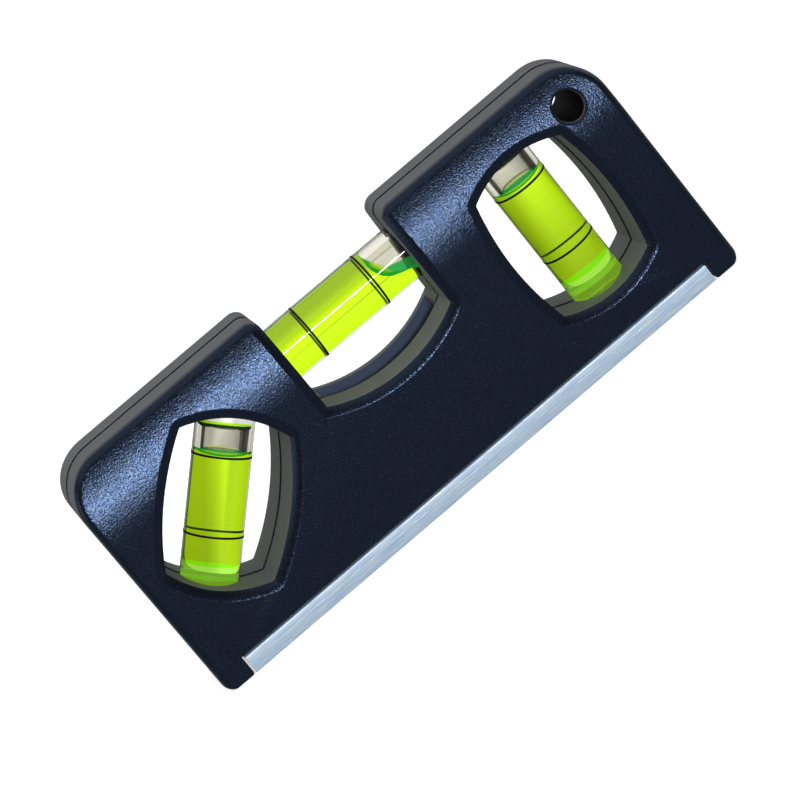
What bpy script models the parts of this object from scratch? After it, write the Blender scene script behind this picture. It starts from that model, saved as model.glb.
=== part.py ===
"""Mini magnetic level: two moulded half shells around three spirit vials, on a rail with a magnet strip.

The frame: X runs along the base, the side that faces the viewer looks towards -Y, and Z is up from the
resting face. Lengths are metres. The two shells meet on the plane y = 0, and the axes of all three vials
lie in that plane.
"""

import math

import bmesh
import bpy
from mathutils import Matrix, Vector
from mathutils.geometry import delaunay_2d_cdt

# Body envelope and the clearance between pieces that touch
BODY_LENGTH = 0.1105
BODY_HEIGHT = 0.0452
BODY_THICKNESS = 0.0200
TOUCH_GAP = 0.0003

# Crown of the two faces: flat up to a band below the top edge, where an arc thins the body
CROWN_BAND = 0.0142
CROWN_RADIUS = 0.0330
CROWN_ROW_SHARES = (0.0, 0.2, 0.38, 0.55, 0.71, 0.86)

# Corners and edges of the outline
TOP_CORNER_RADIUS = 0.0080
FOOT_CORNER_RADIUS = 0.0020
FOOT_INNER_RADIUS = 0.0005
SHOULDER_RADIUS = 0.0022
SHOULDER_FLARE_SHARE = 0.5
EDGE_ROUND = 0.0014
BASE_ROUND = 0.00025

# Base rail between the two feet of the body: plate with a T tongue on top and a channel for the magnet below
FOOT_LENGTH = 0.00535
RAIL_HEIGHT = 0.0033
TONGUE_SETBACK = 0.0076
NECK_WIDTH = 0.0060
FLANGE_WIDTH = 0.0110
FLANGE_HEIGHT = 0.0010
CHANNEL_WIDTH = 0.0126
CHANNEL_DEPTH = 0.0017
MAGNET_RECESS = 0.0002
MAGNET_SETBACK = 0.0006
RAIL_EDGE_BREAK = 0.00015

# Vials: acrylic rods with a blind bore, a liquid, a bubble, an end plug and two ring lines
TUBE_RADIUS = 0.0050
BORE_RADIUS = 0.0032
TUBE_EDGE_BREAK = 0.00025
FILL_GAP = 0.00012
BUBBLE_CORNER = 0.0005
MENISCUS_SAG = 0.0006
MENISCUS_MID_SHARE = 0.7
RING_SPACING = 0.0132
RING_WIDTH = 0.00034
RING_THICKNESS = 0.00010
RING_GAP = 0.00005
PLUG_GAP = 0.00020
PLUG_LENGTH = 0.0023
PLUG_GROOVE_START = 0.0009
PLUG_GROOVE_WIDTH = 0.0005
PLUG_GROOVE_DEPTH = 0.00035

# Level vial across the notch
LEVEL_AXIS_DROP = 0.00965
LEVEL_SEAT = 0.0043
LEVEL_BLIND_WALL = 0.0020
LEVEL_RING_SHIFT = -0.00057
LEVEL_BUBBLE_LENGTH = 0.00485
LEVEL_MENISCUS_LEAN = 0.0036

# Notch for the level vial, with the sunk band in its floor
NOTCH_HALF_WIDTH = 0.0132
NOTCH_FLOOR_DROP = 0.0128
NOTCH_FLOOR_RADIUS = 0.0269
NOTCH_FLARE = 0.0011
NOTCH_FLARE_DEPTH = 0.0010
FLOOR_SLOT_END_STRIP = 0.0010
FLOOR_SLOT_REAR_STRIP = 0.0028
FLOOR_SLOT_FRONT_Y = 0.0002
FLOOR_SLOT_DEPTH = 0.0024
FLOOR_BLOCK_THICKNESS = 0.0042

# Barrel shaped windows: half width at the corners, how far the sides and ends bulge past them, and the
# margins left around them. The margins of the slanted one set the length of both, as its room is tighter
WINDOW_HALF_WIDTH = 0.0090
WINDOW_SIDE_BULGE = 0.0015
WINDOW_END_BULGE = 0.0023
WINDOW_FLARE = 0.0012
WINDOW_FLARE_DEPTH = 0.0010
WINDOW_DRAFT = 0.00016
PLUMB_TOP_MARGIN = 0.00725
PLUMB_BASE_MARGIN = 0.00595
PLUMB_PLACE_SHARE = 0.5244
ANGLE_TOP_MARGIN = 0.00592
ANGLE_BASE_MARGIN = 0.00612
ANGLE_END_MARGIN = 0.00477
ANGLE_NOTCH_MARGIN = 0.00772
ANGLE_TILT = math.radians(45)

# The two window vials, placed by the middle of their ring lines
WINDOW_TUBE_SEAT = 0.0017
WINDOW_RING_RISE = 0.0007
WINDOW_BLIND_WALL = 0.0035
WINDOW_BUBBLE_LENGTH = 0.0047
PLUMB_RING_SHIFT = 0.00135
ANGLE_RING_SHIFT = 0.0003

# Moulded walls inside each shell
PLATE_THICKNESS = 0.0020
END_WALL = 0.0022
TOP_WALL = 0.0020
BASE_WALL = 0.0016
NOTCH_WALL = 0.0020
WINDOW_WALL = 0.0020
CAVITY_CORNER_RADIUS = 0.0058
CAVITY_SMALL_RADIUS = 0.0008
CRADLE_SIDE_WALL = 0.0013
CRADLE_END_WALL = 0.0015
RIB_THICKNESS = 0.0012
RIB_HEIGHT_Y = 0.0045
RIB_PLACE_SHARES = (-1.29, -0.667, 0.667, 1.29)
RIB_LOW_CLEARANCE = 0.0010
RIB_TOP_DROP = 0.00275
CROSS_RIB_PLACE_SHARE = 0.3815
CROSS_RIB_HALF_LENGTH = 0.0235

# Hanging hole near the top right corner
HOLE_INSET_X = 0.00705
HOLE_INSET_Z = 0.0068
HOLE_RADIUS = 0.0026
HOLE_FLARE = 0.0005
HOLE_TUBE_WALL = 0.0018

# Housing screws, driven from the back, and the distances that place them
TOP_LEFT_SCREW_INSET_X = 0.00625
TOP_LEFT_SCREW_INSET_Z = 0.0062
NOTCH_LEFT_SCREW_OFFSET = 0.0097
NOTCH_RIGHT_SCREW_OFFSET = 0.0087
NOTCH_SCREW_INSET_Z = 0.0049
LOW_SCREW_INSET_X = 0.0047
LOW_SCREW_Z = 0.0103
SCREW_HEAD_RADIUS = 0.0025
SCREW_HEAD_HEIGHT = 0.0016
SCREW_HEAD_DOME = 0.0008
SCREW_DOME_RADIUS_SHARE = 0.6
SCREW_DOME_DROP_SHARE = 0.15
SCREW_SHANK_RADIUS = 0.0010
SCREW_THREAD_RADIUS = 0.0013
SCREW_THREAD_PITCH = 0.0018
THREAD_CREST_SHARE = 0.3
THREAD_FOOT_SHARE = 0.6
SCREW_THREADS = 4
SCREW_PLAIN = 0.0014
SCREW_TIP = 0.0012
SCREW_TIP_CLEARANCE = 0.0009
RECESS_WIDTH = 0.0006
RECESS_SPAN = 0.0026
RECESS_DEPTH = 0.0010
COUNTERBORE_FLOOR_Y = 0.0030
PILOT_FLOOR = 0.0024
REAR_BOSS_WALL = 0.0012
FRONT_BOSS_WALL = 0.0015

# Locating pins of the front shell, in sockets of the rear shell
PIN_PLACE_SHARES = (-0.418, 0.372)
PIN_Z = 0.0095
PIN_RADIUS = 0.0012
PIN_REACH_Y = 0.0025
PIN_TIP_CLEARANCE = 0.0006
SOCKET_WALL = 0.0012

# How far cutters run past the material they cut, and how close two points or a crossing may lie
OVER = 0.0010
SAME_PLACE = 0.0000001
ROW_END_SHARE = 0.001
SHARPEST_MITRE = 0.2

# Facets
ARC_STEP = math.radians(15)
SMOOTH_ANGLE = math.radians(35)
SHELL_SMOOTH_ANGLE = math.radians(32)
EDGE_STEPS = 3
FLOOR_STEPS = 10
WINDOW_SIDE_STEPS = 6
TUBE_SEGMENTS = 28
FILL_SEGMENTS = 24
HOLE_SEGMENTS = 24
BOSS_SEGMENTS = 16
SCREW_SEGMENTS = 12
PIN_SEGMENTS = 12

FRONT = -1
REAR = 1

# Places and sizes that follow from the ones above
HALF_LENGTH = BODY_LENGTH / 2
HALF_THICKNESS = BODY_THICKNESS / 2
CROWN_START = BODY_HEIGHT - CROWN_BAND
SEAT_Z = RAIL_HEIGHT + TOUCH_GAP
CAVITY_FLOOR_Z = SEAT_Z + BASE_WALL
FOOT_INNER_X = HALF_LENGTH - FOOT_LENGTH
RAIL_HALF_LENGTH = FOOT_INNER_X - TOUCH_GAP
TONGUE_HALF_LENGTH = RAIL_HALF_LENGTH - TONGUE_SETBACK
MAGNET_HALF_LENGTH = RAIL_HALF_LENGTH - MAGNET_SETBACK
NECK_TOP_Z = CAVITY_FLOOR_Z + TOUCH_GAP
FLANGE_TOP_Z = NECK_TOP_Z + FLANGE_HEIGHT

LEVEL_VIAL_Z = BODY_HEIGHT - LEVEL_AXIS_DROP
LEVEL_TUBE_HALF_LENGTH = NOTCH_HALF_WIDTH + LEVEL_SEAT
LEVEL_BORE_END = LEVEL_TUBE_HALF_LENGTH - LEVEL_BLIND_WALL
LEVEL_PLUG_FACE = -NOTCH_HALF_WIDTH
LEVEL_MENISCUS = LEVEL_BORE_END - LEVEL_BUBBLE_LENGTH
NOTCH_FLOOR_Z = LEVEL_VIAL_Z - NOTCH_FLOOR_DROP
NOTCH_CENTRE_Z = NOTCH_FLOOR_Z + NOTCH_FLOOR_RADIUS
CROSS_RIB_Z = FLANGE_TOP_Z + CROSS_RIB_PLACE_SHARE * (NOTCH_FLOOR_Z - FLANGE_TOP_Z)

PLUMB_WINDOW = (
    NOTCH_HALF_WIDTH + PLUMB_PLACE_SHARE * (HALF_LENGTH - NOTCH_HALF_WIDTH),
    (SEAT_Z + PLUMB_BASE_MARGIN + BODY_HEIGHT - PLUMB_TOP_MARGIN) / 2,
)
ANGLE_LEFT_X, ANGLE_RIGHT_X = -HALF_LENGTH + ANGLE_END_MARGIN, -NOTCH_HALF_WIDTH - ANGLE_NOTCH_MARGIN
ANGLE_LOW_Z, ANGLE_HIGH_Z = SEAT_Z + ANGLE_BASE_MARGIN, BODY_HEIGHT - ANGLE_TOP_MARGIN
ANGLE_WINDOW = ((ANGLE_LEFT_X + ANGLE_RIGHT_X) / 2, (ANGLE_LOW_Z + ANGLE_HIGH_Z) / 2)
ANGLE_ROOM_X = (ANGLE_RIGHT_X - ANGLE_LEFT_X) / 2 - WINDOW_HALF_WIDTH * math.cos(ANGLE_TILT)
ANGLE_ROOM_Z = (ANGLE_HIGH_Z - ANGLE_LOW_Z) / 2 - WINDOW_HALF_WIDTH * math.sin(ANGLE_TILT)
WINDOW_HALF_LENGTH = min(ANGLE_ROOM_X / math.sin(ANGLE_TILT), ANGLE_ROOM_Z / math.cos(ANGLE_TILT))
WINDOW_TUBE_HALF = WINDOW_HALF_LENGTH + WINDOW_END_BULGE + WINDOW_TUBE_SEAT
WINDOW_TUBE_LOW = -WINDOW_TUBE_HALF - WINDOW_RING_RISE
WINDOW_TUBE_HIGH = WINDOW_TUBE_HALF - WINDOW_RING_RISE
WINDOW_CHAMBER_HALF = WINDOW_TUBE_HIGH - WINDOW_BLIND_WALL
WINDOW_MENISCUS = WINDOW_CHAMBER_HALF - WINDOW_BUBBLE_LENGTH

POCKET_RADIUS = TUBE_RADIUS + TOUCH_GAP
FILL_RADIUS = BORE_RADIUS - FILL_GAP
LEVEL_MENISCUS_SLOPE = LEVEL_MENISCUS_LEAN / FILL_RADIUS
HOLE = (HALF_LENGTH - HOLE_INSET_X, BODY_HEIGHT - HOLE_INSET_Z)
COUNTERBORE_RADIUS = SCREW_HEAD_RADIUS + TOUCH_GAP
SCREW_HOLE_RADIUS = SCREW_THREAD_RADIUS + TOUCH_GAP
SCREW_SEAT_Y = COUNTERBORE_FLOOR_Y + TOUCH_GAP
PILOT_END_Y = HALF_THICKNESS - PILOT_FLOOR
SCREW_LENGTH = SCREW_SEAT_Y + PILOT_END_Y - SCREW_TIP_CLEARANCE
SCREW_PLACES = (
    (-HALF_LENGTH + TOP_LEFT_SCREW_INSET_X, BODY_HEIGHT - TOP_LEFT_SCREW_INSET_Z),
    (-NOTCH_HALF_WIDTH - NOTCH_LEFT_SCREW_OFFSET, BODY_HEIGHT - NOTCH_SCREW_INSET_Z),
    (NOTCH_HALF_WIDTH + NOTCH_RIGHT_SCREW_OFFSET, BODY_HEIGHT - NOTCH_SCREW_INSET_Z),
    (-HALF_LENGTH + LOW_SCREW_INSET_X, LOW_SCREW_Z),
    (0.0, CROSS_RIB_Z),
    (HALF_LENGTH - LOW_SCREW_INSET_X, LOW_SCREW_Z),
)
PIN_PLACES = tuple((share * HALF_LENGTH, PIN_Z) for share in PIN_PLACE_SHARES)

# Materials: colour, roughness, metallic, transmission and index of refraction
SHADES = {
    "navy_plastic": ((0.012, 0.015, 0.030), 0.42, 0.0, 0.0, 1.5),
    "brushed_aluminium": ((0.78, 0.82, 0.88), 0.32, 1.0, 0.0, 1.5),
    "magnet_rubber": ((0.035, 0.033, 0.032), 0.7, 0.0, 0.0, 1.5),
    "plated_steel": ((0.55, 0.56, 0.58), 0.3, 1.0, 0.0, 1.5),
    "clear_acrylic": ((0.95, 0.97, 0.93), 0.02, 0.0, 1.0, 1.49),
    "plug_acrylic": ((0.75, 0.9, 0.45), 0.08, 0.0, 0.9, 1.49),
    "spirit_liquid": ((0.62, 0.88, 0.02), 0.02, 0.0, 0.85, 1.36),
    "air_bubble": ((0.93, 0.94, 0.88), 0.03, 0.0, 0.95, 1.0),
    "ring_paint": ((0.01, 0.01, 0.01), 0.4, 0.0, 0.0, 1.5),
}


def clear_scene():
    for old in list(bpy.data.objects):
        bpy.data.objects.remove(old, do_unlink=True)


def make_materials():
    made = {}
    for name, (colour, roughness, metallic, transmission, ior) in SHADES.items():
        shade = bpy.data.materials.new(name)
        shade.use_nodes = True
        shader = shade.node_tree.nodes["Principled BSDF"]
        shader.inputs["Base Color"].default_value = (*colour, 1.0)
        shader.inputs["Roughness"].default_value = roughness
        shader.inputs["Metallic"].default_value = metallic
        shader.inputs["Transmission Weight"].default_value = transmission
        shader.inputs["IOR"].default_value = ior
        shade.diffuse_color = (*colour, 1.0)
        made[name] = shade
    return made


def finish_mesh(name, work, shade=None, smooth_angle=None):
    """Turns a bmesh into an object with outward faces, shaded smooth up to its real edges if it is round."""
    bmesh.ops.recalc_face_normals(work, faces=work.faces)
    mesh = bpy.data.meshes.new(name)
    work.to_mesh(mesh)
    work.free()
    made = bpy.data.objects.new(name, mesh)
    bpy.context.scene.collection.objects.link(made)
    if shade is not None:
        mesh.materials.append(shade)
    if smooth_angle is not None:
        mesh.shade_smooth()
        mesh.set_sharp_from_angle(angle=smooth_angle)
    return made


def hide_helper(helper):
    helper.hide_render = True
    helper.display_type = "WIRE"
    return helper


def crown_drop(z):
    """How far the face lies behind its flat plane at this height."""
    rise = max(0.0, z - CROWN_START)
    return CROWN_RADIUS - math.sqrt(CROWN_RADIUS**2 - rise**2)


def crown_rows():
    return [CROWN_START + share * (BODY_HEIGHT - CROWN_START) for share in CROWN_ROW_SHARES]


# Outlines are lists of (x, z) that run counter-clockwise, seen with X to the right and Z up


def arc_points(centre, radius, start, sweep):
    steps = max(2, math.ceil(abs(sweep) / ARC_STEP))
    turns = [start + sweep * i / steps for i in range(steps + 1)]
    return [(centre[0] + radius * math.cos(turn), centre[1] + radius * math.sin(turn)) for turn in turns]


def rounded_corner(before, corner, after, radius):
    """The arc that rounds a corner, or the corner itself when the radius is zero."""
    if radius <= 0:
        return [corner]
    here = Vector(corner)
    back = (Vector(before) - here).normalized()
    ahead = (Vector(after) - here).normalized()
    half = math.acos(max(-1.0, min(1.0, back.dot(ahead)))) / 2
    centre = here + (back + ahead).normalized() * radius / math.sin(half)
    reach = radius / math.tan(half)
    first = here + back * reach - centre
    last = here + ahead * reach - centre
    start = math.atan2(first.y, first.x)
    sweep = math.atan2(last.y, last.x) - start
    sweep = (sweep + math.pi) % math.tau - math.pi
    return arc_points(centre, radius, start, sweep)


def notch_floor(half_width, radius):
    """The concave floor of the notch from its right end to its left end."""
    half = math.asin(half_width / radius)
    turns = [-math.pi / 2 + half - 2 * half * i / FLOOR_STEPS for i in range(FLOOR_STEPS + 1)]
    return [(radius * math.cos(turn), NOTCH_CENTRE_Z + radius * math.sin(turn)) for turn in turns]


def corner_loop(corners):
    """Rounds (corner, radius, kind) entries into (x, z, kind) points. A corner may be a list of points."""
    places = [corner if isinstance(corner, list) else [corner] for corner, _, _ in corners]
    points = []
    for i, (corner, radius, kind) in enumerate(corners):
        if isinstance(corner, list):
            part = corner
        else:
            part = rounded_corner(places[i - 1][-1], corner, places[(i + 1) % len(places)][0], radius)
        points += [(x, z, kind) for x, z in part]
    return points


def base_edge(x):
    """Size of the edge along the base: crisp beside the rail, and soft round the outer foot corners."""
    outer = abs(x) - (HALF_LENGTH - FOOT_CORNER_RADIUS)
    share = max(0.0, min(1.0, outer / FOOT_CORNER_RADIUS))
    return BASE_ROUND + (EDGE_ROUND - BASE_ROUND) * share**2


def body_outline():
    """Points of the outline as (x, z, edge width, edge depth, whether the edge is round)."""
    floor = notch_floor(NOTCH_HALF_WIDTH, NOTCH_FLOOR_RADIUS)
    corners = [
        ((-HALF_LENGTH, 0.0), FOOT_CORNER_RADIUS, "base"),
        ((-FOOT_INNER_X, 0.0), FOOT_INNER_RADIUS, "base"),
        ((-FOOT_INNER_X, SEAT_Z), 0.0, "base"),
        ((FOOT_INNER_X, SEAT_Z), 0.0, "base"),
        ((FOOT_INNER_X, 0.0), FOOT_INNER_RADIUS, "base"),
        ((HALF_LENGTH, 0.0), FOOT_CORNER_RADIUS, "base"),
        ((HALF_LENGTH, BODY_HEIGHT), TOP_CORNER_RADIUS, "edge"),
        ((NOTCH_HALF_WIDTH, BODY_HEIGHT), SHOULDER_RADIUS, "shoulder"),
        (floor, 0.0, "notch"),
        ((-NOTCH_HALF_WIDTH, BODY_HEIGHT), SHOULDER_RADIUS, "shoulder"),
        ((-HALF_LENGTH, BODY_HEIGHT), TOP_CORNER_RADIUS, "edge"),
    ]
    points = []
    for x, z, kind in corner_loop(corners):
        lowered = BODY_HEIGHT - z > SHOULDER_RADIUS * SHOULDER_FLARE_SHARE
        if kind == "base":
            size = base_edge(x)
            points.append((x, z, size, size, True))
        elif kind == "notch" or (kind == "shoulder" and lowered):
            points.append((x, z, NOTCH_FLARE, NOTCH_FLARE_DEPTH, False))
        else:
            points.append((x, z, EDGE_ROUND, EDGE_ROUND, True))
    return points


def inward_mitres(points):
    """For each point of a counter-clockwise loop, the step inwards that moves both of its sides by one."""
    count = len(points)
    steps = []
    for i in range(count):
        here = Vector(points[i][:2])
        coming = (here - Vector(points[i - 1][:2])).normalized()
        going = (Vector(points[(i + 1) % count][:2]) - here).normalized()
        left = Vector((-coming.y, coming.x))
        right = Vector((-going.y, going.x))
        steps.append((left + right) / max(SHARPEST_MITRE, 1 + left.dot(right)))
    return steps


def edge_rings(points, steps):
    """Loops from the wall to the face: each is a list of (x, z, drop) of the same length."""
    mitres = inward_mitres(points)
    rings = []
    for k in range(steps + 1):
        share = k / steps if steps else 1.0
        turn = share * math.pi / 2
        ring = []
        for (x, z, width, depth, is_round), mitre in zip(points, mitres):
            inset = width * ((1 - math.cos(turn)) if is_round else share)
            drop = depth * ((1 - math.sin(turn)) if is_round else 1 - share)
            ring.append((x + mitre.x * inset, z + mitre.y * inset, drop))
        rings.append(ring)
    return rings


def split_at_rows(rings, rows):
    """Adds points to every loop where the last loop crosses a crown row, so that the faces stay matched."""
    last = rings[-1]
    count = len(last)
    out = [[] for _ in rings]
    for i in range(count):
        j = (i + 1) % count
        z0, z1 = last[i][1], last[j][1]
        shares = [(row - z0) / (z1 - z0) for row in rows if min(z0, z1) < row < max(z0, z1)]
        for made, ring in zip(out, rings):
            made.append(ring[i])
            for share in sorted(s for s in shares if ROW_END_SHARE < s < 1 - ROW_END_SHARE):
                made.append(tuple(a + (b - a) * share for a, b in zip(ring[i], ring[j])))
    return out


def inside(point, loop):
    x, z = point
    found = False
    for i in range(len(loop)):
        x0, z0 = loop[i - 1][:2]
        x1, z1 = loop[i][:2]
        if (z0 > z) != (z1 > z) and x < x0 + (x1 - x0) * (z - z0) / (z1 - z0):
            found = not found
    return found


def row_edges(loop, rows):
    """Pairs of loop points joined by a crown row that runs inside the loop."""
    pairs = []
    for row in rows:
        on_row = sorted((p[0], i) for i, p in enumerate(loop) if abs(p[1] - row) < SAME_PLACE)
        for (xa, a), (xb, b) in zip(on_row, on_row[1:]):
            if xb - xa > SAME_PLACE and inside(((xa + xb) / 2, row + SAME_PLACE), loop):
                pairs.append((a, b))
    return pairs


def bridge(work, lower, upper):
    """Quads between two loops of the same length."""
    for i in range(len(lower)):
        j = (i + 1) % len(lower)
        work.faces.new((lower[i], lower[j], upper[j], upper[i]))


def crowned_solid(name, points, steps, side, back_y, skin):
    """A slab between the parting side and a crowned face that lies skin below the outer face."""
    rows = crown_rows()
    rings = split_at_rows(edge_rings(points, steps), rows)
    work = bmesh.new()
    loops = [[work.verts.new((x, back_y, z)) for x, z, _ in rings[0]]]
    face_y = HALF_THICKNESS - skin
    for ring in rings:
        loops.append([work.verts.new((x, side * (face_y - crown_drop(z) - drop), z)) for x, z, drop in ring])
    for lower, upper in zip(loops, loops[1:]):
        bridge(work, lower, upper)
    work.faces.new(loops[0])
    last = rings[-1]
    flat = [Vector(p[:2]) for p in last]
    edges = [(i, (i + 1) % len(last)) for i in range(len(last))] + row_edges(last, rows)
    triangles, origins = delaunay_2d_cdt(flat, edges, [], 1, SAME_PLACE**2)[2:4]
    for triangle in triangles:
        work.faces.new([loops[-1][origins[v][0]] for v in triangle])
    return finish_mesh(name, work)


def prism(name, loop, y0, y1):
    """A straight cutter or core from a loop of (x, z) between two depths."""
    work = bmesh.new()
    near = [work.verts.new((x, y0, z)) for x, z in loop]
    far = [work.verts.new((x, y1, z)) for x, z in loop]
    bridge(work, near, far)
    work.faces.new(near)
    work.faces.new(far)
    return hide_helper(finish_mesh(name, work))


def lofted(name, loops):
    """A cutter through loops of (x, y, z) points, closed by a fan at each end."""
    work = bmesh.new()
    rows = [[work.verts.new(p) for p in loop] for loop in loops]
    for lower, upper in zip(rows, rows[1:]):
        bridge(work, lower, upper)
    for end in (rows[0], rows[-1]):
        middle = work.verts.new(sum((v.co for v in end), Vector()) / len(end))
        for i in range(len(end)):
            work.faces.new((end[i], end[(i + 1) % len(end)], middle))
    return hide_helper(finish_mesh(name, work))


def circle_loop(x, z, radius, segments):
    turns = [math.tau * i / segments for i in range(segments)]
    return [(x + radius * math.cos(turn), z + radius * math.sin(turn)) for turn in turns]


def box_loop(x0, z0, x1, z1):
    return [(x0, z0), (x1, z0), (x1, z1), (x0, z1)]


def barrel_loop(extra):
    """The window outline about its own centre, grown outwards by extra: u across the vial, w along it."""
    width, length = WINDOW_HALF_WIDTH, WINDOW_HALF_LENGTH
    ahead = [-1 + 2 * i / WINDOW_SIDE_STEPS for i in range(WINDOW_SIDE_STEPS)]
    points = [(width + WINDOW_SIDE_BULGE * (1 - s * s), s * length) for s in ahead]
    points += [(-s * width, length + WINDOW_END_BULGE * (1 - s * s)) for s in ahead]
    points += [(-u, -w) for u, w in points]
    mitres = inward_mitres(points)
    return [(u - mitre.x * extra, w - mitre.y * extra) for (u, w), mitre in zip(points, mitres)]


def turned_loop(loop, centre, tilt):
    """Leans a local loop's second axis by tilt from vertical towards +X, and moves the loop to the centre."""
    c, s = math.cos(tilt), math.sin(tilt)
    return [(centre[0] + u * c + w * s, centre[1] - u * s + w * c) for u, w in loop]


def at_face(loop, side, level):
    """Lifts a loop of (x, z) to a level above the crowned face of one side."""
    return [(x, side * (HALF_THICKNESS - crown_drop(z) + level), z) for x, z in loop]


def window_cutter(name, centre, tilt, side):
    """The barrel opening of one shell with a flared rim that follows the crowned face."""
    rim = turned_loop(barrel_loop(WINDOW_FLARE * (1 + OVER / WINDOW_FLARE_DEPTH)), centre, tilt)
    throat = turned_loop(barrel_loop(0.0), centre, tilt)
    narrow = turned_loop(barrel_loop(-WINDOW_DRAFT), centre, tilt)
    loops = [at_face(rim, side, OVER), at_face(throat, side, -WINDOW_FLARE_DEPTH)]
    loops.append([(x, 0.0, z) for x, z in narrow])
    loops.append([(x, -side * OVER, z) for x, z in narrow])
    return lofted(name, loops)


def hole_cutter(name, side):
    """The hanging hole with a small flare on the crowned face."""
    plain = circle_loop(*HOLE, HOLE_RADIUS, HOLE_SEGMENTS)
    wide = circle_loop(*HOLE, HOLE_RADIUS + 2 * HOLE_FLARE, HOLE_SEGMENTS)
    loops = [at_face(wide, side, HOLE_FLARE), at_face(plain, side, -HOLE_FLARE)]
    loops.append([(x, -side * OVER, z) for x, z in plain])
    return lofted(name, loops)


def round_cutter(name, place, radius, y0, y1, segments):
    return prism(name, circle_loop(*place, radius, segments), y0, y1)


def boolean(target, name, operation, helpers):
    """Adds a Boolean whose cutters are kept together in a collection of their own."""
    group = bpy.data.collections.new(name)
    bpy.context.scene.collection.children.link(group)
    for helper in helpers:
        group.objects.link(helper)
        bpy.context.scene.collection.objects.unlink(helper)
    cut = target.modifiers.new(name, "BOOLEAN")
    cut.operation = operation
    cut.operand_type = "COLLECTION"
    cut.collection = group
    cut.solver = "EXACT"
    cut.use_self = True


def turned_mesh(profile, segments, closed=False, lean=None):
    """A solid turned about +Z from (radius, height) points. lean is (index, slope) of a tilted row."""
    work = bmesh.new()
    rows = []
    for index, (radius, height) in enumerate(profile):
        if radius <= 0:
            rows.append([work.verts.new((0.0, 0.0, height))])
            continue
        slope = lean[1] if lean and lean[0] == index else 0.0
        row = []
        for i in range(segments):
            turn = math.tau * i / segments
            x, y = radius * math.cos(turn), radius * math.sin(turn)
            row.append(work.verts.new((x, y, height + slope * x)))
        rows.append(row)
    pairs = list(zip(rows, rows[1:])) + ([(rows[-1], rows[0])] if closed else [])
    for lower, upper in pairs:
        for i in range(segments):
            j = (i + 1) % segments
            corners = [lower[i % len(lower)], lower[j % len(lower)]]
            corners += [upper[j % len(upper)], upper[i % len(upper)]]
            unique = list(dict.fromkeys(corners))
            if len(unique) > 2:
                work.faces.new(unique)
    return work


def turned_piece(name, profile, segments, shade, matrix, closed=False, lean=None):
    made = finish_mesh(name, turned_mesh(profile, segments, closed, lean), shade, SMOOTH_ANGLE)
    made.matrix_world = matrix
    return made


def axis_frame(place, tilt):
    """A frame whose +Z is the vial axis: tilt zero is upright, and it leans towards +X."""
    return Matrix.Translation((place[0], 0.0, place[1])) @ Matrix.Rotation(tilt, 4, "Y")


def along_axis(distance):
    return Matrix.Translation((0.0, 0.0, distance))


def level_frame():
    return axis_frame((0.0, LEVEL_VIAL_Z), math.pi / 2)


def plumb_frame():
    return axis_frame(PLUMB_WINDOW, 0.0) @ along_axis(PLUMB_RING_SHIFT)


def angle_frame():
    return axis_frame(ANGLE_WINDOW, ANGLE_TILT) @ along_axis(ANGLE_RING_SHIFT)


def tube_profile(low, high, bore_end):
    """A blind tube: open at its low end, closed at its high end."""
    e = TUBE_EDGE_BREAK
    return [
        (0.0, high),
        (TUBE_RADIUS - e, high),
        (TUBE_RADIUS, high - e),
        (TUBE_RADIUS, low + e),
        (TUBE_RADIUS - e, low),
        (BORE_RADIUS + e, low),
        (BORE_RADIUS, low + e),
        (BORE_RADIUS, bore_end - BUBBLE_CORNER),
        (BORE_RADIUS - BUBBLE_CORNER, bore_end),
        (0.0, bore_end),
    ]


def plug_profile(face):
    """The end plug with its sealing groove, from its inner face outwards."""
    r = BORE_RADIUS - PLUG_GAP
    groove = r - PLUG_GROOVE_DEPTH
    top = face - PLUG_GROOVE_START
    low = top - PLUG_GROOVE_WIDTH
    end = face - PLUG_LENGTH
    return [(0.0, face), (r, face), (r, top), (groove, top), (groove, low), (r, low), (r, end), (0.0, end)]


def ring_lines(prefix, centre, shades, matrix):
    """The two printed ring lines of a vial, each a thin band on the tube."""
    inner = TUBE_RADIUS + RING_GAP
    outer = inner + RING_THICKNESS
    half = RING_WIDTH / 2
    band = [(inner, -half), (outer, -half), (outer, half), (inner, half)]
    for label, offset in (("low", -RING_SPACING / 2), ("high", RING_SPACING / 2)):
        place = matrix @ along_axis(centre + offset)
        turned_piece(f"{prefix}_ring_{label}", band, TUBE_SEGMENTS, shades["ring_paint"], place, closed=True)


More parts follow.
